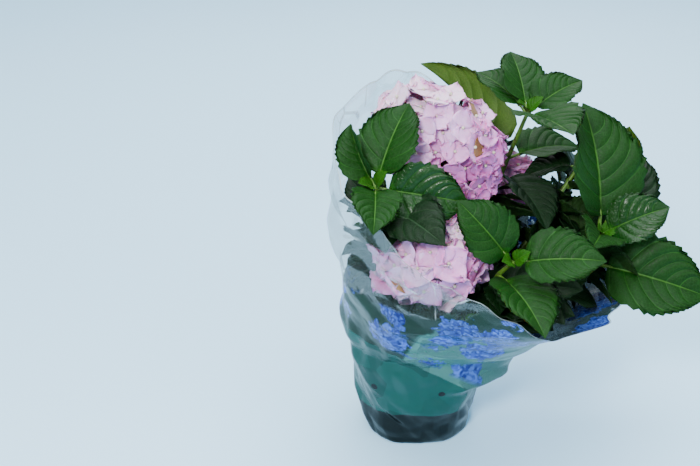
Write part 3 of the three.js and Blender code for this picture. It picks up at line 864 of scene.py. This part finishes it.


# Leaves and stems as pieces

# The masses inside the crown and two single leaves that are painted in the dark tone, as shade
SHADED_MASSES = ("middle_leaves", "inner_left_leaves", "inner_front_leaves")
SHADED_LEAVES = (("top_leaves", 0), ("right_leaves", 4))
GLOSSY_LEAVES = (("left_leaves", 2), ("right_leaves", 2))
FOLIAGE = {
    "foliage_left": ("left_leaves", "inner_left_leaves", "inner_front_leaves", "back_left_leaves"),
    "foliage_top": ("top_leaves", "middle_leaves", "back_leaves"),
    "foliage_right": ("right_leaves", "front_leaves"),
}
WAVE_SEED = 5
CANE_MESH_STEPS = 26
CANE_SIDES = 16
TWIG_SIDES = 12
PATH_STEP = 5
RIBS, RIB_HEIGHT, RIB_TWIST = 3, 0.035, 0.3
FINE_RIBS, FINE_RIB_HEIGHT = 7, 0.02
KNOT_HEIGHT, KNOT_SPACING, KNOT_START = 0.07, 9, 5


def dress_crown(crown):
    """Tones for the leaves: dark inside, in the middle and on two chosen leaves, which is painted shade, and
    a few with a glossy face.
    """
    for leaf in crown.leaves:
        if leaf.tone == "mid" and leaf.mass in SHADED_MASSES:
            leaf.tone = "dark"
    for tone, chosen in (("dark", SHADED_LEAVES), ("gloss", GLOSSY_LEAVES)):
        for mass, index in chosen:
            [leaf for leaf in crown.leaves if leaf.mass == mass][index].tone = tone


def make_foliage(crown):
    random = seeded(WAVE_SEED)
    for name, masses in FOLIAGE.items():
        heap = Heap()
        for leaf in crown.leaves:
            if leaf.mass in masses:
                add_leaf(heap, leaf, next(random))
        heap.piece(name, LEAF_LOOKS.values(), "leaf", masses)


def stem_relief(shift):
    """A stem's ribs and knots, as a factor on its radius by ring and angle."""
    def relief(ring, angle):
        knot = KNOT_HEIGHT if ring % KNOT_SPACING == KNOT_START else 0.0
        ribs = RIB_HEIGHT * np.sin(RIBS * angle + shift + RIB_TWIST * ring)
        return 1 + ribs + FINE_RIB_HEIGHT * np.sin(FINE_RIBS * angle + ring) + knot
    return relief


def make_stems(crown):
    """Canes with their relief, twigs, and the leaves' stalks."""
    canes, twigs = Heap(), Heap()
    for mass in MASSES + HEADS:
        relief = stem_relief(6 * next(seeded(mass["seed"])))
        path = cane_path(mass, CANE_MESH_STEPS)
        radii = np.linspace(CANE_FOOT_RADIUS, CANE_TIP_RADIUS, len(path))
        radii[0] *= CANE_FLARE
        canes.add(*tube(path, radii, CANE_SIDES, relief), 0)
        for nodes in twig_paths(mass):
            path = stepped_path(nodes)
            radii = np.linspace(TWIG_RADIUS, TWIG_TIP_RADIUS, len(path))
            twigs.add(*tube(path, radii, TWIG_SIDES, relief), 0)
    for leaf in crown.leaves:
        twigs.add(*leaf_stalk(leaf), 1)
    masses = [mass["name"] for mass in MASSES]
    bearers = masses + [head["name"] for head in HEADS]
    canes.piece("canes", [stem_material("cane_green", srgb(74, 98, 34), srgb(62, 46, 28))], "cane",
                [name.replace("_leaves", "") + "_cane" for name in bearers])
    twigs.piece("twigs", [stem_material("twig_green", srgb(74, 112, 26), srgb(60, 66, 24)),
                          stem_material("stalk_green", srgb(80, 118, 34), srgb(62, 92, 26))], "leaf", masses)


# Flower heads. A sepal's depths and heights are in parts of its length.

SEPAL_LENGTH = 19
SEPAL_LEAST = 7
SEPAL_ROWS = 8
SEPAL_COLUMNS = 8
SEPAL_THICKNESS = 0.25
SEPAL_START = 0.04
SEPAL_BREADTH = 0.66
SEPAL_CLAW = 0.06
SEPAL_NARROWING = 0.25
SEPAL_ROUNDNESS = (0.78, 0.55)
SEPAL_ARC = 0.12
CUP_ALONG, CUP_ACROSS, LEAST_CUP = 0.34, 0.22, 0.04
RUFFLE, RUFFLE_WAVES = 0.1, 1.6
TWIST, TWIST_WAVES = 0.05, 8
RIM_TONES = dict(pale="pink", pink="rose", rose="deep", cream="pale", dry="dry")
DRY_FROM = 0.965
SEPAL_SIZE, SEPAL_SIZES = 0.9, 0.2
LAYER_LIFT = 0.5
DRAW_STEP = 0.37
EYE_HEIGHTS = (-0.6, 0.8, 2.2, 2.9)
EYE_RADII = (1.1, 1.7, 1.4, 0.4)
EYE_SIDES = 8
STEM_RADII = (0.9, 0.8, 0.9)
STEM_SIDES = 6
STEM_START = 0.4
STEM_END = 0.3
STEM_BEND = 2
WARM_SIDE = (0.5, -0.2, -0.5)
WARM_DRAW = 0.8
# The upper head's tones with the least warmth of each, and the lower one's with the highest draw.
UPPER_TONES = (("rose", 0.3), ("pink", -0.12), ("pale", -0.5), ("cream", -2))
LOWER_TONES = (("cream", 0.2), ("pale", 0.6), ("pink", 1))
FLORET_SIZE, FLORET_SIZES = 0.78, 0.26
FLORET_RISE, FLORET_RISES = 0.96, 0.06
FLORET_TILT = 0.7
FLORET_DEPTHS = (0.97, 0.86, 0.75, 0.64)
SUNK_PART = 0.3
FLORET_GAP = 2
ENOUGH_ROOM = 0.8


def add_sepal(heap, middle, outward, way, size, draws, tone):
    """One broad ruffled sepal, cupped and curled at its rim."""
    side = np.cross(outward, way)
    u = np.linspace(SEPAL_START, 1, SEPAL_ROWS)[:, None]
    w = np.linspace(-1, 1, SEPAL_COLUMNS)[None, :]
    swell, bluntness = SEPAL_ROUNDNESS
    half = SEPAL_BREADTH * size * np.sin(math.pi * u**swell) ** bluntness * (1 - SEPAL_NARROWING * u)
    half = half + SEPAL_CLAW * size
    cup = (CUP_ALONG * draws[0] - LEAST_CUP) * u**2 + (CUP_ACROSS * draws[1] - LEAST_CUP) * (w * u) ** 2
    ruffle = RUFFLE * u**2 * np.sin(math.pi * (RUFFLE_WAVES * w + 2 * draws[2]))
    ruffle = ruffle + TWIST * u * np.sin(TWIST_WAVES * u + 6 * draws[3]) * w
    curve = size * u * (1 - SEPAL_ARC * w**2)
    top = middle + way * curve[..., None] + side * (w * half)[..., None]
    top = top + outward * (size * (cup + ruffle))[..., None]
    bottom = top - outward * SEPAL_THICKNESS
    points, faces, where = closed_sheet(top[:, ::-1], bottom[:, ::-1])
    own, rim = PETAL_TONES.index(tone), PETAL_TONES.index(RIM_TONES[tone])
    last = SEPAL_ROWS - 2
    heap.add(points, faces, [rim if row == last and skin != "bottom" else own for row, _, skin in where])


def add_floret(heap, stalks, middle, outward, size, draws, tone, inside):
    """Four sepals round an eye, on a stalk from inside the head."""
    spin = 2 * math.pi * draws[0]
    side = unit(np.cross(outward, vec((0.3, 0.2, 1))))
    up = np.cross(outward, side)
    for k in range(4):
        angle = spin + k * math.pi / 2
        way = side * math.cos(angle) + up * math.sin(angle)
        lift = outward * (LAYER_LIFT if k % 2 else -LAYER_LIFT)
        shift = [(draw + DRAW_STEP * k) % 1 for draw in draws[1:5]]
        length = size * (SEPAL_SIZE + SEPAL_SIZES * shift[0])
        own_tone = "dry" if k == 1 and draws[5] > DRY_FROM else tone
        add_sepal(heap, middle + lift, outward, way, length, shift, own_tone)
    stalks.add(*tube([middle + outward * height for height in EYE_HEIGHTS], EYE_RADII, EYE_SIDES), 1)
    bend = (middle + inside) / 2 + side * STEM_BEND
    stalks.add(*tube([inside, bend, middle - outward * STEM_END], STEM_RADII, STEM_SIDES), 0)


def ball_places(count):
    """Even places all round a ball, from its top down."""
    places = []
    for i in range(count):
        z = 1 - 2 * (i + 0.5) / count
        angle = i * math.pi * (3 - math.sqrt(5))
        r = math.sqrt(1 - z * z)
        places.append(vec((r * math.cos(angle), r * math.sin(angle), z)))
    return places


def floret_tone(head, way, draw):
    """The upper head is cream above and rosy to the lower right, and the lower one is pale."""
    if head["name"] == "lower_bloom":
        return next(tone for tone, most in LOWER_TONES if draw < most)
    warmth = np.dot(WARM_SIDE, way) + WARM_DRAW * (draw - 0.5)
    return next(tone for tone, least in UPPER_TONES if warmth > least)


def floret_seat(head, way, draws, marks):
    """Where a floret sits and how long its sepals are. It sinks inward where leaves leave it no room."""
    wanted = SEPAL_LENGTH * (FLORET_SIZE + FLORET_SIZES * draws[4])
    for depth in FLORET_DEPTHS[draws[5] < SUNK_PART:]:
        place = vec(head["middle"]) + way * depth * (FLORET_RISE + FLORET_RISES * draws[6])
        room = math.sqrt(((marks - place) ** 2).sum(axis=1).min()) - FLORET_GAP
        if room > ENOUGH_ROOM * wanted:
            break
    return place, min(wanted, room)


def make_blooms(crown):
    marks = np.concatenate([leaf.marks for leaf in crown.leaves])
    stalk_looks = [stem_material("pedicel", srgb(150, 170, 110), srgb(170, 130, 120)),
                   vein_material("floret_eye", srgb(214, 214, 186))]
    for head in HEADS:
        heap, stalks = Heap(), Heap()
        random = seeded(head["seed"])
        radii = vec(head["radii"])
        for start in ball_places(head["florets"]):
            draws = [next(random) for _ in range(8)]
            way = leaned(start * radii, head["lean"])
            tilt = vec((draws[1] - 0.5, draws[2] - 0.5, draws[3] - 0.5)) * FLORET_TILT
            outward = unit(leaned(unit(start / radii), head["lean"]) + tilt)
            place, size = floret_seat(head, way, draws, marks)
            if size < SEPAL_LEAST:
                continue
            tone = floret_tone(head, unit(way), draws[7])
            inside = vec(head["middle"]) + way * STEM_START
            add_floret(heap, stalks, place, outward, size, draws, tone, inside)
        heap.piece(head["name"] + "_sepals", PETAL_LOOKS.values(), "petal", [head["name"]])
        stalks.piece(head["name"] + "_stalks", stalk_looks, "petal", [head["name"]])


# Film sleeve. Its heights of print are every 30 degrees, like the model's rim.

FILM_COLUMNS = 320
FILM_LOW_ROWS = 44
FILM_HIGH_ROWS = 84
FILM_SKIN = 0.25
POT_CLEARANCE = 0.7
MOST_INWARD = 5
# How many waves the rim has, how deep they are and their shift
RIM_WAVES = ((9, 2.2, 0), (23, 1.5, 1))
CREASE_RISE = 120
FACET_ROWS = 24
BROAD_FACETS = dict(count=13, height=27, seed=41)
SMALL_FACETS = dict(count=31, height=13, seed=43)
# How deep the facets are round the pot, and what the open film adds to it
BROAD_DEPTH, SMALL_DEPTH = (4.2, 3.0), (2.2, 0.6)
GATHERS, GATHER_DEPTH, GATHER_HEIGHT = 17, (0.9, 1.2), 26
FOLD_ANGLE = math.radians(342)
FOLD_WIDTH = math.radians(34)
FOLD_HEIGHTS = (66, 80, 112, 160)
FOLD_DEPTH = 30
FOLD_POWER = 1.5
DARK_TOP = (38, 34, 30, 28, 27, 27, 28, 32, 41, 46, 43, 41)
TEAL_TOP = (45, 45, 60, 80, 100, 120, 132, 134, 132, 110, 84, 58)
PRINT_TOP = (188, 200, 200, 200, 190, 184, 182, 204, 204, 226, 216, 198)
CLEAR_STEP = 75
RIM_LEVEL = 9
PALE_ANGLE = math.radians(300)
HOLE_RADIUS = 3.6
# Each hole's turn in degrees and its height
HOLES = ((228, 74), (288, 74), (209, 262))

VEIL_ALPHA = 0.08
HAZE_ALPHA = 0.09
CREASE_GLINT_ALPHA = 0.3
PRINT_ALPHA = 0.84
PALE_ALPHA = 0.78
BLOSSOM_ALPHA = 0.93
TEAL_ALPHA = 0.985
GROUND = srgb(13, 42, 27)
PALE_GROUND = srgb(70, 118, 110)
VEIL = srgb(80, 94, 90)
# Pale colour of the painted highlights along the film's creases and rim
CREASE_GLINT = srgb(190, 200, 202)
TEAL = srgb(5, 66, 59)
DARK_FOOT = srgb(2, 10, 9)
# Colour painted in the holes: the dark pot and the shade inside the sleeve that show through them
HOLE = srgb(3, 6, 6)
PETAL_BLUE = srgb(20, 42, 144)
PETAL_LIGHT = srgb(80, 122, 208)
PETAL_EDGE = srgb(10, 22, 100)


def smooth_step(value, start, end):
    part = np.clip((value - start) / (end - start), 0, 1)
    return part * part * (3 - 2 * part)


def loose_fold(angle, z):
    """The loose fold at the right of the pot, as in the model, with a sharper crest."""
    turn = np.arctan2(np.sin(angle - FOLD_ANGLE), np.cos(angle - FOLD_ANGLE)) / FOLD_WIDTH
    foot, full, fading, end = FOLD_HEIGHTS
    rise = smooth_step(z, foot, full) * (1 - smooth_step(z, fading, end))
    return FOLD_DEPTH * np.exp(-np.abs(turn) ** FOLD_POWER) * rise


def facets(turn, z, count, height, seed, drift, lift):
    """Flat facets with sharp creases between them, from -1 to 1, count of them round the film."""
    random = seeded(seed)
    heights = np.array([[2 * next(random) - 1 for _ in range(count)] for _ in range(FACET_ROWS)])
    across, up = count * turn + drift, z / height + lift
    column, row = np.floor(across).astype(int), np.floor(up).astype(int)
    u, v = across - column, up - row

    def corner(right, above):
        return heights[(row + above) % FACET_ROWS, (column + right) % count]

    a, b, c, d = corner(0, 0), corner(1, 0), corner(0, 1), corner(1, 1)
    return np.where(u + v < 1, a + u * (b - a) + v * (c - a), d + (1 - u) * (c - d) + (1 - v) * (b - d))


def film_folds(angle, z):
    """How far the film stands out of its plain shape."""
    above = np.clip((z - POT_HEIGHT) / CREASE_RISE, 0, 1)
    turn = angle / (2 * math.pi)
    sway = 0.4 * np.sin(3 * angle + 1) + 0.3 * np.sin(0.05 * z)
    broad = facets(turn, z, **BROAD_FACETS, drift=sway, lift=0.5 * np.sin(2 * angle))
    small = facets(turn, z, **SMALL_FACETS, drift=-1.5 * sway, lift=sway)
    neck = np.exp(-(((z - POT_HEIGHT) / GATHER_HEIGHT) ** 2))
    gathers = np.sin(GATHERS * angle + 2 * np.sin(3 * angle))
    gathers = gathers * (GATHER_DEPTH[0] * neck + GATHER_DEPTH[1] * above)
    broad = broad * (BROAD_DEPTH[0] + BROAD_DEPTH[1] * above)
    small = small * (SMALL_DEPTH[0] + SMALL_DEPTH[1] * above)
    return broad + small + gathers + loose_fold(angle, z)


def pot_radius(z):
    """The pot's outer radius at a height, which the film stays outside."""
    shoulder = POT_HEIGHT - POT_RIM_HEIGHT
    body = POT_FOOT_RADIUS + (POT_TOP_RADIUS - POT_FOOT_RADIUS) * z / shoulder
    return np.where(z < shoulder - 2, body, np.where(z < POT_HEIGHT + 2, POT_RIM_RADIUS, 0))


def film_grid():
    """The film's plain shape: the angle, height and radius of each point."""
    angle = np.arange(FILM_COLUMNS + 1) * 2 * math.pi / FILM_COLUMNS
    rim = around(RIM_HEIGHT, angle)
    for waves, depth, shift in RIM_WAVES:
        rim = rim + depth * np.sin(waves * angle + shift)
    lower = np.linspace(FILM_FOOT, POT_HEIGHT, FILM_LOW_ROWS, endpoint=False)[:, None] + 0 * angle
    part = np.linspace(0, 1, FILM_HIGH_ROWS)[:, None]
    z = np.concatenate([lower, POT_HEIGHT + part * (rim - POT_HEIGHT)])
    angle = np.broadcast_to(angle, z.shape)
    rise = np.clip((z - FILM_FOOT) / (FILM_SHOULDER - FILM_FOOT), 0, 1)
    foot_radius = FILM_FOOT_RADIUS + (FILM_NECK_RADIUS - FILM_FOOT_RADIUS) * rise
    return angle, z, np.where(z > POT_HEIGHT, film_radius(angle, z), foot_radius)


def film_surface():
    """The film's points, and for its print the turn and the level of each.

    Level 1 is the dark band's top, 2 the teal's, 3 the print's, and the highest is the rim.
    """
    angle, z, radius = film_grid()
    inmost = np.maximum(pot_radius(z) + POT_CLEARANCE, radius - MOST_INWARD)
    radius = np.maximum(radius + film_folds(angle, z), inmost)
    x, y = film_centre(z)
    points = np.stack([x + radius * np.cos(angle), y + radius * np.sin(angle), z], axis=-1)
    dark, teal, printed = (around(tops, angle) for tops in (DARK_TOP, TEAL_TOP, PRINT_TOP))
    upper = np.where(z < printed, 2 + (z - teal) / (printed - teal), 3 + (z - printed) / CLEAR_STEP)
    level = np.where(z < dark, z / dark, np.where(z < teal, 1 + (z - dark) / (teal - dark), upper))
    level[-1] = RIM_LEVEL
    return points, angle / (2 * math.pi), level


def crease_glints(shader, level):
    """A few thin broken whitish lines where the film has been creased, painted highlights along its creases,
    and its rim painted bright as a highlight.
    """
    edge = shader.cell_edges(1.0, shader.mapped((15.0, 15.0, 6.0), (0.5, 0.3, 0.0)))
    lines = shader.times(shader.below(edge, 0.009, 0.01), shader.above(shader.noise(28.0), 0.54, 0.1))
    return shader.math("MAXIMUM", lines, shader.above(level, 6.8, 0.6))


def blossom_print(shader, level):
    """Round heads of blue blossom on the band above the teal, and the tint of each petal."""
    heads = shader.cells(21.0, Randomness=0.6).outputs["Distance"]
    reach = shader.math("ADD", heads, shader.times(shader.noise(130.0, 2.0), 0.5))
    band = shader.times(shader.above(level, 2.08, 0.05), shader.below(level, 2.98, 0.05))
    mask = shader.times(shader.below(reach, 0.72, 0.04), band)
    ripple = shader.node("ShaderNodeTexNoise", {"Vector": shader.place(), "Scale": 60.0}).outputs["Color"]
    bent = shader.node("ShaderNodeVectorMath", {0: shader.place(), 1: ripple, 2: (0.012, 0.012, 0.012)},
                       operation="MULTIPLY_ADD").outputs[0]
    petals = shader.cells(1.0, shader.mapped((170.0, 110.0, 60.0), (0.0, 0.7, 0.0), bent))
    tint = shader.mix(shader.first(petals.outputs["Color"]), PETAL_BLUE, PETAL_LIGHT)
    edge = shader.above(petals.outputs["Distance"], 0.62, 0.5)
    return mask, shader.mix(edge, tint, PETAL_EDGE)


def painted_facet_light(shader, color):
    """The colour, a little lighter or darker from one flat facet of creased film to the next: painted light
    and shade, as if each facet met the light at its own angle.
    """
    cells = shader.cells(1.0, shader.mapped((26.0, 26.0, 34.0), (0.4, 0.6, 0.2))).outputs["Color"]
    tone = shader.math("ADD", shader.times(shader.first(cells), 0.55), 0.75)
    return shader.node("ShaderNodeVectorMath", {0: color, 1: tone}, operation="MULTIPLY").outputs[0]


def hole_places(points):
    """Where the film's small round holes are, in metres."""
    places = []
    for degrees, height in HOLES:
        column = points[:, round(degrees / 360 * FILM_COLUMNS)]
        places.append(tuple(column[np.abs(column[:, 2] - height).argmin()] * MM))
    return places


def add_gloss(shader):
    """The shine of clear film, which stays where the film is see-through."""
    gloss = shader.node("ShaderNodeBsdfGlossy", {"Roughness": 0.1})
    grazing = shader.node("ShaderNodeLayerWeight", {"Blend": 0.2}).outputs["Fresnel"]
    amount = shader.math("MULTIPLY", grazing, 0.18, clamp=True)
    mixed = shader.node("ShaderNodeMixShader", {0: amount, 1: shader.surface.outputs[0], 2: gloss.outputs[0]})
    shader.links.new(mixed.outputs[0], shader.nodes["Material Output"].inputs["Surface"])


def film_masks(shader):
    """Where the film has each part of its print, from 0 to 1, and the tint of the blossom's petals."""
    uv = shader.node("ShaderNodeUVMap", uv_map="print").outputs[0]
    turn, level = shader.node("ShaderNodeSeparateXYZ", {"Vector": uv}).outputs[:2]
    ragged = shader.math("ADD", level, shader.times(shader.noise(45.0), 0.5))
    angle = shader.math("SUBTRACT", shader.times(turn, 2 * math.pi), PALE_ANGLE)
    pale = shader.above(shader.math("COSINE", angle), 0.66, 0.03)
    blossom, petal_tint = blossom_print(shader, level)
    masks = dict(dark=shader.below(level, 1.0, 0.02), teal=shader.below(level, 2.0, 0.02),
                 ground=shader.below(ragged, 3.2, 0.06), blossom=blossom, crease_glint=crease_glints(shader, level),
                 pale=shader.times(pale, shader.below(ragged, 2.93, 0.05)))
    return masks, petal_tint


def film_color(shader, masks, petal_tint, points):
    printed = shader.mix(masks["pale"], GROUND, PALE_GROUND)
    # The creases and the rim are painted pale over the clear film: painted highlights
    color = shader.mix(masks["ground"], shader.mix(masks["crease_glint"], VEIL, CREASE_GLINT), printed)
    for name, tint in (("blossom", petal_tint), ("teal", TEAL), ("dark", DARK_FOOT)):
        color = shader.mix(masks[name], color, tint)
    # Painted light and shade of the creased facets, over the whole film
    color = painted_facet_light(shader, color)
    # The holes are painted as near-black discs, the dark pot and the painted shade inside the sleeve; the
    # film is not cut
    for place in hole_places(points):
        away = shader.node("ShaderNodeVectorMath", {0: shader.place(), 1: place}, operation="DISTANCE")
        hole = shader.below(away.outputs["Value"], HOLE_RADIUS * MM, 0.0006)
        color = shader.mix(hole, color, HOLE)
    return color


def film_alpha(shader, masks):
    """Nearly clear film with streaks of haze and of painted crease highlights, and denser where it is
    printed.
    """
    haze = shader.above(shader.noise(1.0, 3.0, shader.mapped((34.0, 34.0, 9.0))), 0.6, 0.24)
    alpha = shader.math("ADD", shader.times(haze, HAZE_ALPHA), VEIL_ALPHA)
    alpha = shader.math("ADD", alpha, shader.times(masks["crease_glint"], CREASE_GLINT_ALPHA))
    ground = shader.math("SUBTRACT", PRINT_ALPHA, shader.times(masks["pale"], PRINT_ALPHA - PALE_ALPHA))
    for name, amount in (("ground", ground), ("blossom", BLOSSOM_ALPHA), ("teal", TEAL_ALPHA)):
        alpha = shader.math("MAXIMUM", alpha, shader.times(masks[name], amount), clamp=True)
    return alpha


def film_material(points):
    """Clear creased film with a dark foot band, a teal body and a band of blue blossom."""
    shader = Shader("printed_film")
    masks, petal_tint = film_masks(shader)
    shader.set(Base_Color=film_color(shader, masks, petal_tint, points), Alpha=film_alpha(shader, masks),
               Roughness=0.25, Specular_IOR_Level=0.2)
    shader.bump(shader.noise(70.0, 5.0), 0.0006, 0.3)
    add_gloss(shader)
    return shader.material


def film_cells(rows, cols):
    """Each face of the film as its corners: the skin, the row, and the column before the seam is closed."""
    cells = []
    for skin in (0, 1):
        for r in range(rows - 1):
            for c in range(cols):
                cell = [(skin, r, c), (skin, r, c + 1), (skin, r + 1, c + 1), (skin, r + 1, c)]
                cells.append(cell[::-1] if skin == 1 else cell)
    for r in (0, rows - 1):
        for c in range(cols):
            cell = [(0, r, c), (0, r, c + 1), (1, r, c + 1), (1, r, c)]
            cells.append(cell[::-1] if r == 0 else cell)
    return cells


def make_film():
    points, turn, level = film_surface()
    outer = points[:, :-1]
    out = outer - np.stack([*film_centre(outer[..., 2]), outer[..., 2]], axis=-1)
    inner = outer - out / np.linalg.norm(out, axis=2)[..., None] * FILM_SKIN
    rows, cols = outer.shape[:2]
    cells = film_cells(rows, cols)
    heap = Heap()
    heap.add(np.concatenate([outer.reshape(-1, 3), inner.reshape(-1, 3)]),
             [[(skin * rows + r) * cols + c % cols for skin, r, c in cell] for cell in cells], 0)
    film = heap.piece("film", [film_material(points)], "film", ["film_sleeve"])
    corners = [(turn[r, c], level[r, c]) for cell in cells for _, r, c in cell]
    film.data.uv_layers.new(name="print").data.foreach_set("uv", np.array(corners).ravel())


# Pot and peat

POT_SIDES = 96
PEAT_RINGS = 26
PEAT_GAP = 1.0
PEAT_SEED = 77
PEAT_WAVES = 26
PEAT_DROP = 1.6
PEAT_ROUGHNESS = 1.2
BARK_BITS = 260


def flat_ring(radius, z, sides=POT_SIDES):
    angle = ring_angles(sides)
    return np.stack([radius * np.cos(angle), radius * np.sin(angle), np.full(sides, z)], axis=-1)


def make_pot():
    shoulder = POT_HEIGHT - POT_RIM_HEIGHT
    rim, wall = POT_RIM_RADIUS, POT_WALL
    profile = [
        (POT_FOOT_RADIUS - 3, 0), (POT_FOOT_RADIUS - 0.6, 0.2), (POT_FOOT_RADIUS, 1.2),
        (POT_TOP_RADIUS, shoulder - 1), (rim - 0.8, shoulder - 0.4), (rim, shoulder + 0.6),
        (rim, POT_HEIGHT - 0.8), (rim - 0.5, POT_HEIGHT), (rim - wall + 0.4, POT_HEIGHT),
        (rim - wall, POT_HEIGHT - 0.8), (POT_TOP_RADIUS - wall, shoulder), (POT_FOOT_RADIUS - wall, wall),
    ]
    heap = Heap()
    heap.add(*ring_solid([flat_ring(r, z) for r, z in profile]), 0)
    shader = Shader("pot_black")
    worn = shader.above(shader.noise(40.0, 5.0), 0.6, 0.3)
    shader.set(Base_Color=shader.mix(worn, srgb(26, 29, 28), srgb(52, 54, 52)), Roughness=0.55)
    shader.bump(shader.noise(900.0, 3.0), 0.0002, 0.4)
    heap.piece("pot_shell", [shader.material], "pot", ["pot"])


def peat_rings(inner, random):
    """The peat's rough top, from its edge to its middle."""
    waves = [[next(random) for _ in range(4)] for _ in range(PEAT_WAVES)]
    angle = ring_angles(POT_SIDES)
    rings = []
    for i in range(PEAT_RINGS):
        r = inner * (1 - i / (PEAT_RINGS - 0.5))
        x, y = r * np.cos(angle), r * np.sin(angle)
        rough = sum((0.5 + a) * np.sin(x * (0.2 + b) + y * (c - 0.5) * 1.6 + 6 * d)
                    for a, b, c, d in waves) / 5
        edge = min(1.0, 3 * i / PEAT_RINGS)
        rings.append(np.stack([x, y, SOIL_TOP - PEAT_DROP + PEAT_ROUGHNESS * edge * rough], axis=-1))
    return rings


def bark_bit(reach, random):
    """A short thick splinter of bark that lies on the peat."""
    a, b, c, d, e = (next(random) for _ in range(5))
    r, turn = reach * math.sqrt(a), 2 * math.pi * b
    at = vec((r * math.cos(turn), r * math.sin(turn), SOIL_TOP - 0.8 + 0.8 * c))
    half = unit(vec((math.cos(9 * d), math.sin(9 * d), 0.5 * (e - 0.5)))) * (1.5 + 3.5 * c)
    return tube([at - half, at, at + half], [0.7, 1.4 + d, 0.6], 5)


def make_peat():
    """Crumbled peat with bits of bark, inside the pot."""
    heap = Heap()
    inner = POT_TOP_RADIUS - POT_WALL - PEAT_GAP
    random = seeded(PEAT_SEED)
    foot = flat_ring(POT_FOOT_RADIUS - 4, POT_WALL + PEAT_GAP)
    heap.add(*ring_solid([foot] + peat_rings(inner, random)), 0)
    for _ in range(BARK_BITS):
        heap.add(*bark_bit(inner - 5, random), 1)
    peat = Shader("peat")
    clumps = peat.above(peat.noise(160.0, 5.0), 0.5, 0.3)
    peat.set(Base_Color=peat.mix(clumps, srgb(34, 25, 19), srgb(74, 56, 42)), Roughness=0.95)
    peat.bump(peat.noise(420.0, 5.0), 0.001, 0.8)
    bark = stem_material("bark_bits", srgb(98, 72, 48), srgb(58, 42, 30), 300.0)
    heap.piece("peat", [peat.material, bark], "soil", ["soil"])


# Surroundings

CAMERA_PLACE = (-0.072, -0.8876, 0.6973)
CAMERA_PITCH = 62
CAMERA_LENS = 51.43
SENSOR_WIDTH = 36
FLOOR_HALF = 60.0
SKY_COLOR = srgb(204, 226, 244)
SKY_STRENGTH = 0.5
# Each light's name, place, aim, size, power and colour
LIGHTS = (
    ("sky", (0.1, 0.6, 3.4), (0.1, 0.3, 0), 3.2, 205, (0.9, 0.96, 1.0)),
    ("key", (-0.4, -1.15, 1.2), (0.08, 0, 0.2), 0.32, 30, (1, 1, 1)),
    ("fill", (1.1, -0.7, 0.9), (0.08, 0, 0.2), 0.9, 5, (0.94, 0.97, 1.0)),
    ("back", (0.2, 1.3, 1.2), (0.08, 0, 0.25), 0.9, 9, (1, 1, 1)),
)


def make_camera():
    data = bpy.data.cameras.new("camera")
    data.lens = CAMERA_LENS
    data.sensor_width = SENSOR_WIDTH
    camera = bpy.data.objects.new("camera", data)
    camera.location = CAMERA_PLACE
    camera.rotation_euler = (math.radians(CAMERA_PITCH), 0, 0)
    bpy.context.scene.collection.objects.link(camera)
    bpy.context.scene.camera = camera


def make_light(name, place, aim, size, power, color):
    data = bpy.data.lights.new(name, "AREA")
    data.size = size
    data.energy = power
    data.color = color
    light = bpy.data.objects.new(name, data)
    light.location = place
    away = vec(place) - vec(aim)
    flat = math.hypot(away[0], away[1])
    light.rotation_euler = (math.atan2(flat, away[2]), 0, math.atan2(away[0], -away[1]))
    bpy.context.scene.collection.objects.link(light)


def make_stage():
    """A wide pale floor under a pale sky."""
    mesh = bpy.data.meshes.new("floor")
    corners = [(x * FLOOR_HALF, y * FLOOR_HALF, 0) for x, y in ((-1, -1), (1, -1), (1, 1), (-1, 1))]
    mesh.from_pydata(corners, [], [(0, 1, 2, 3)])
    floor = bpy.data.objects.new("floor", mesh)
    bpy.context.scene.collection.objects.link(floor)
    shader = Shader("floor_pale")
    shader.set(Base_Color=srgb(196, 234, 255), Roughness=0.8)
    shader.set(Emission_Color=(0.05, 0.55, 1.0, 1.0), Emission_Strength=0.3)
    mesh.materials.append(shader.material)
    world = bpy.data.worlds.new("world")
    world.use_nodes = True
    background = world.node_tree.nodes["Background"]
    background.inputs["Color"].default_value = SKY_COLOR
    background.inputs["Strength"].default_value = SKY_STRENGTH
    bpy.context.scene.world = world


make_camera()
make_stage()
for light in LIGHTS:
    make_light(*light)

crown = grow_crown()
dress_crown(crown)
make_foliage(crown)
make_stems(crown)
make_blooms(crown)
make_film()
make_pot()
make_peat()
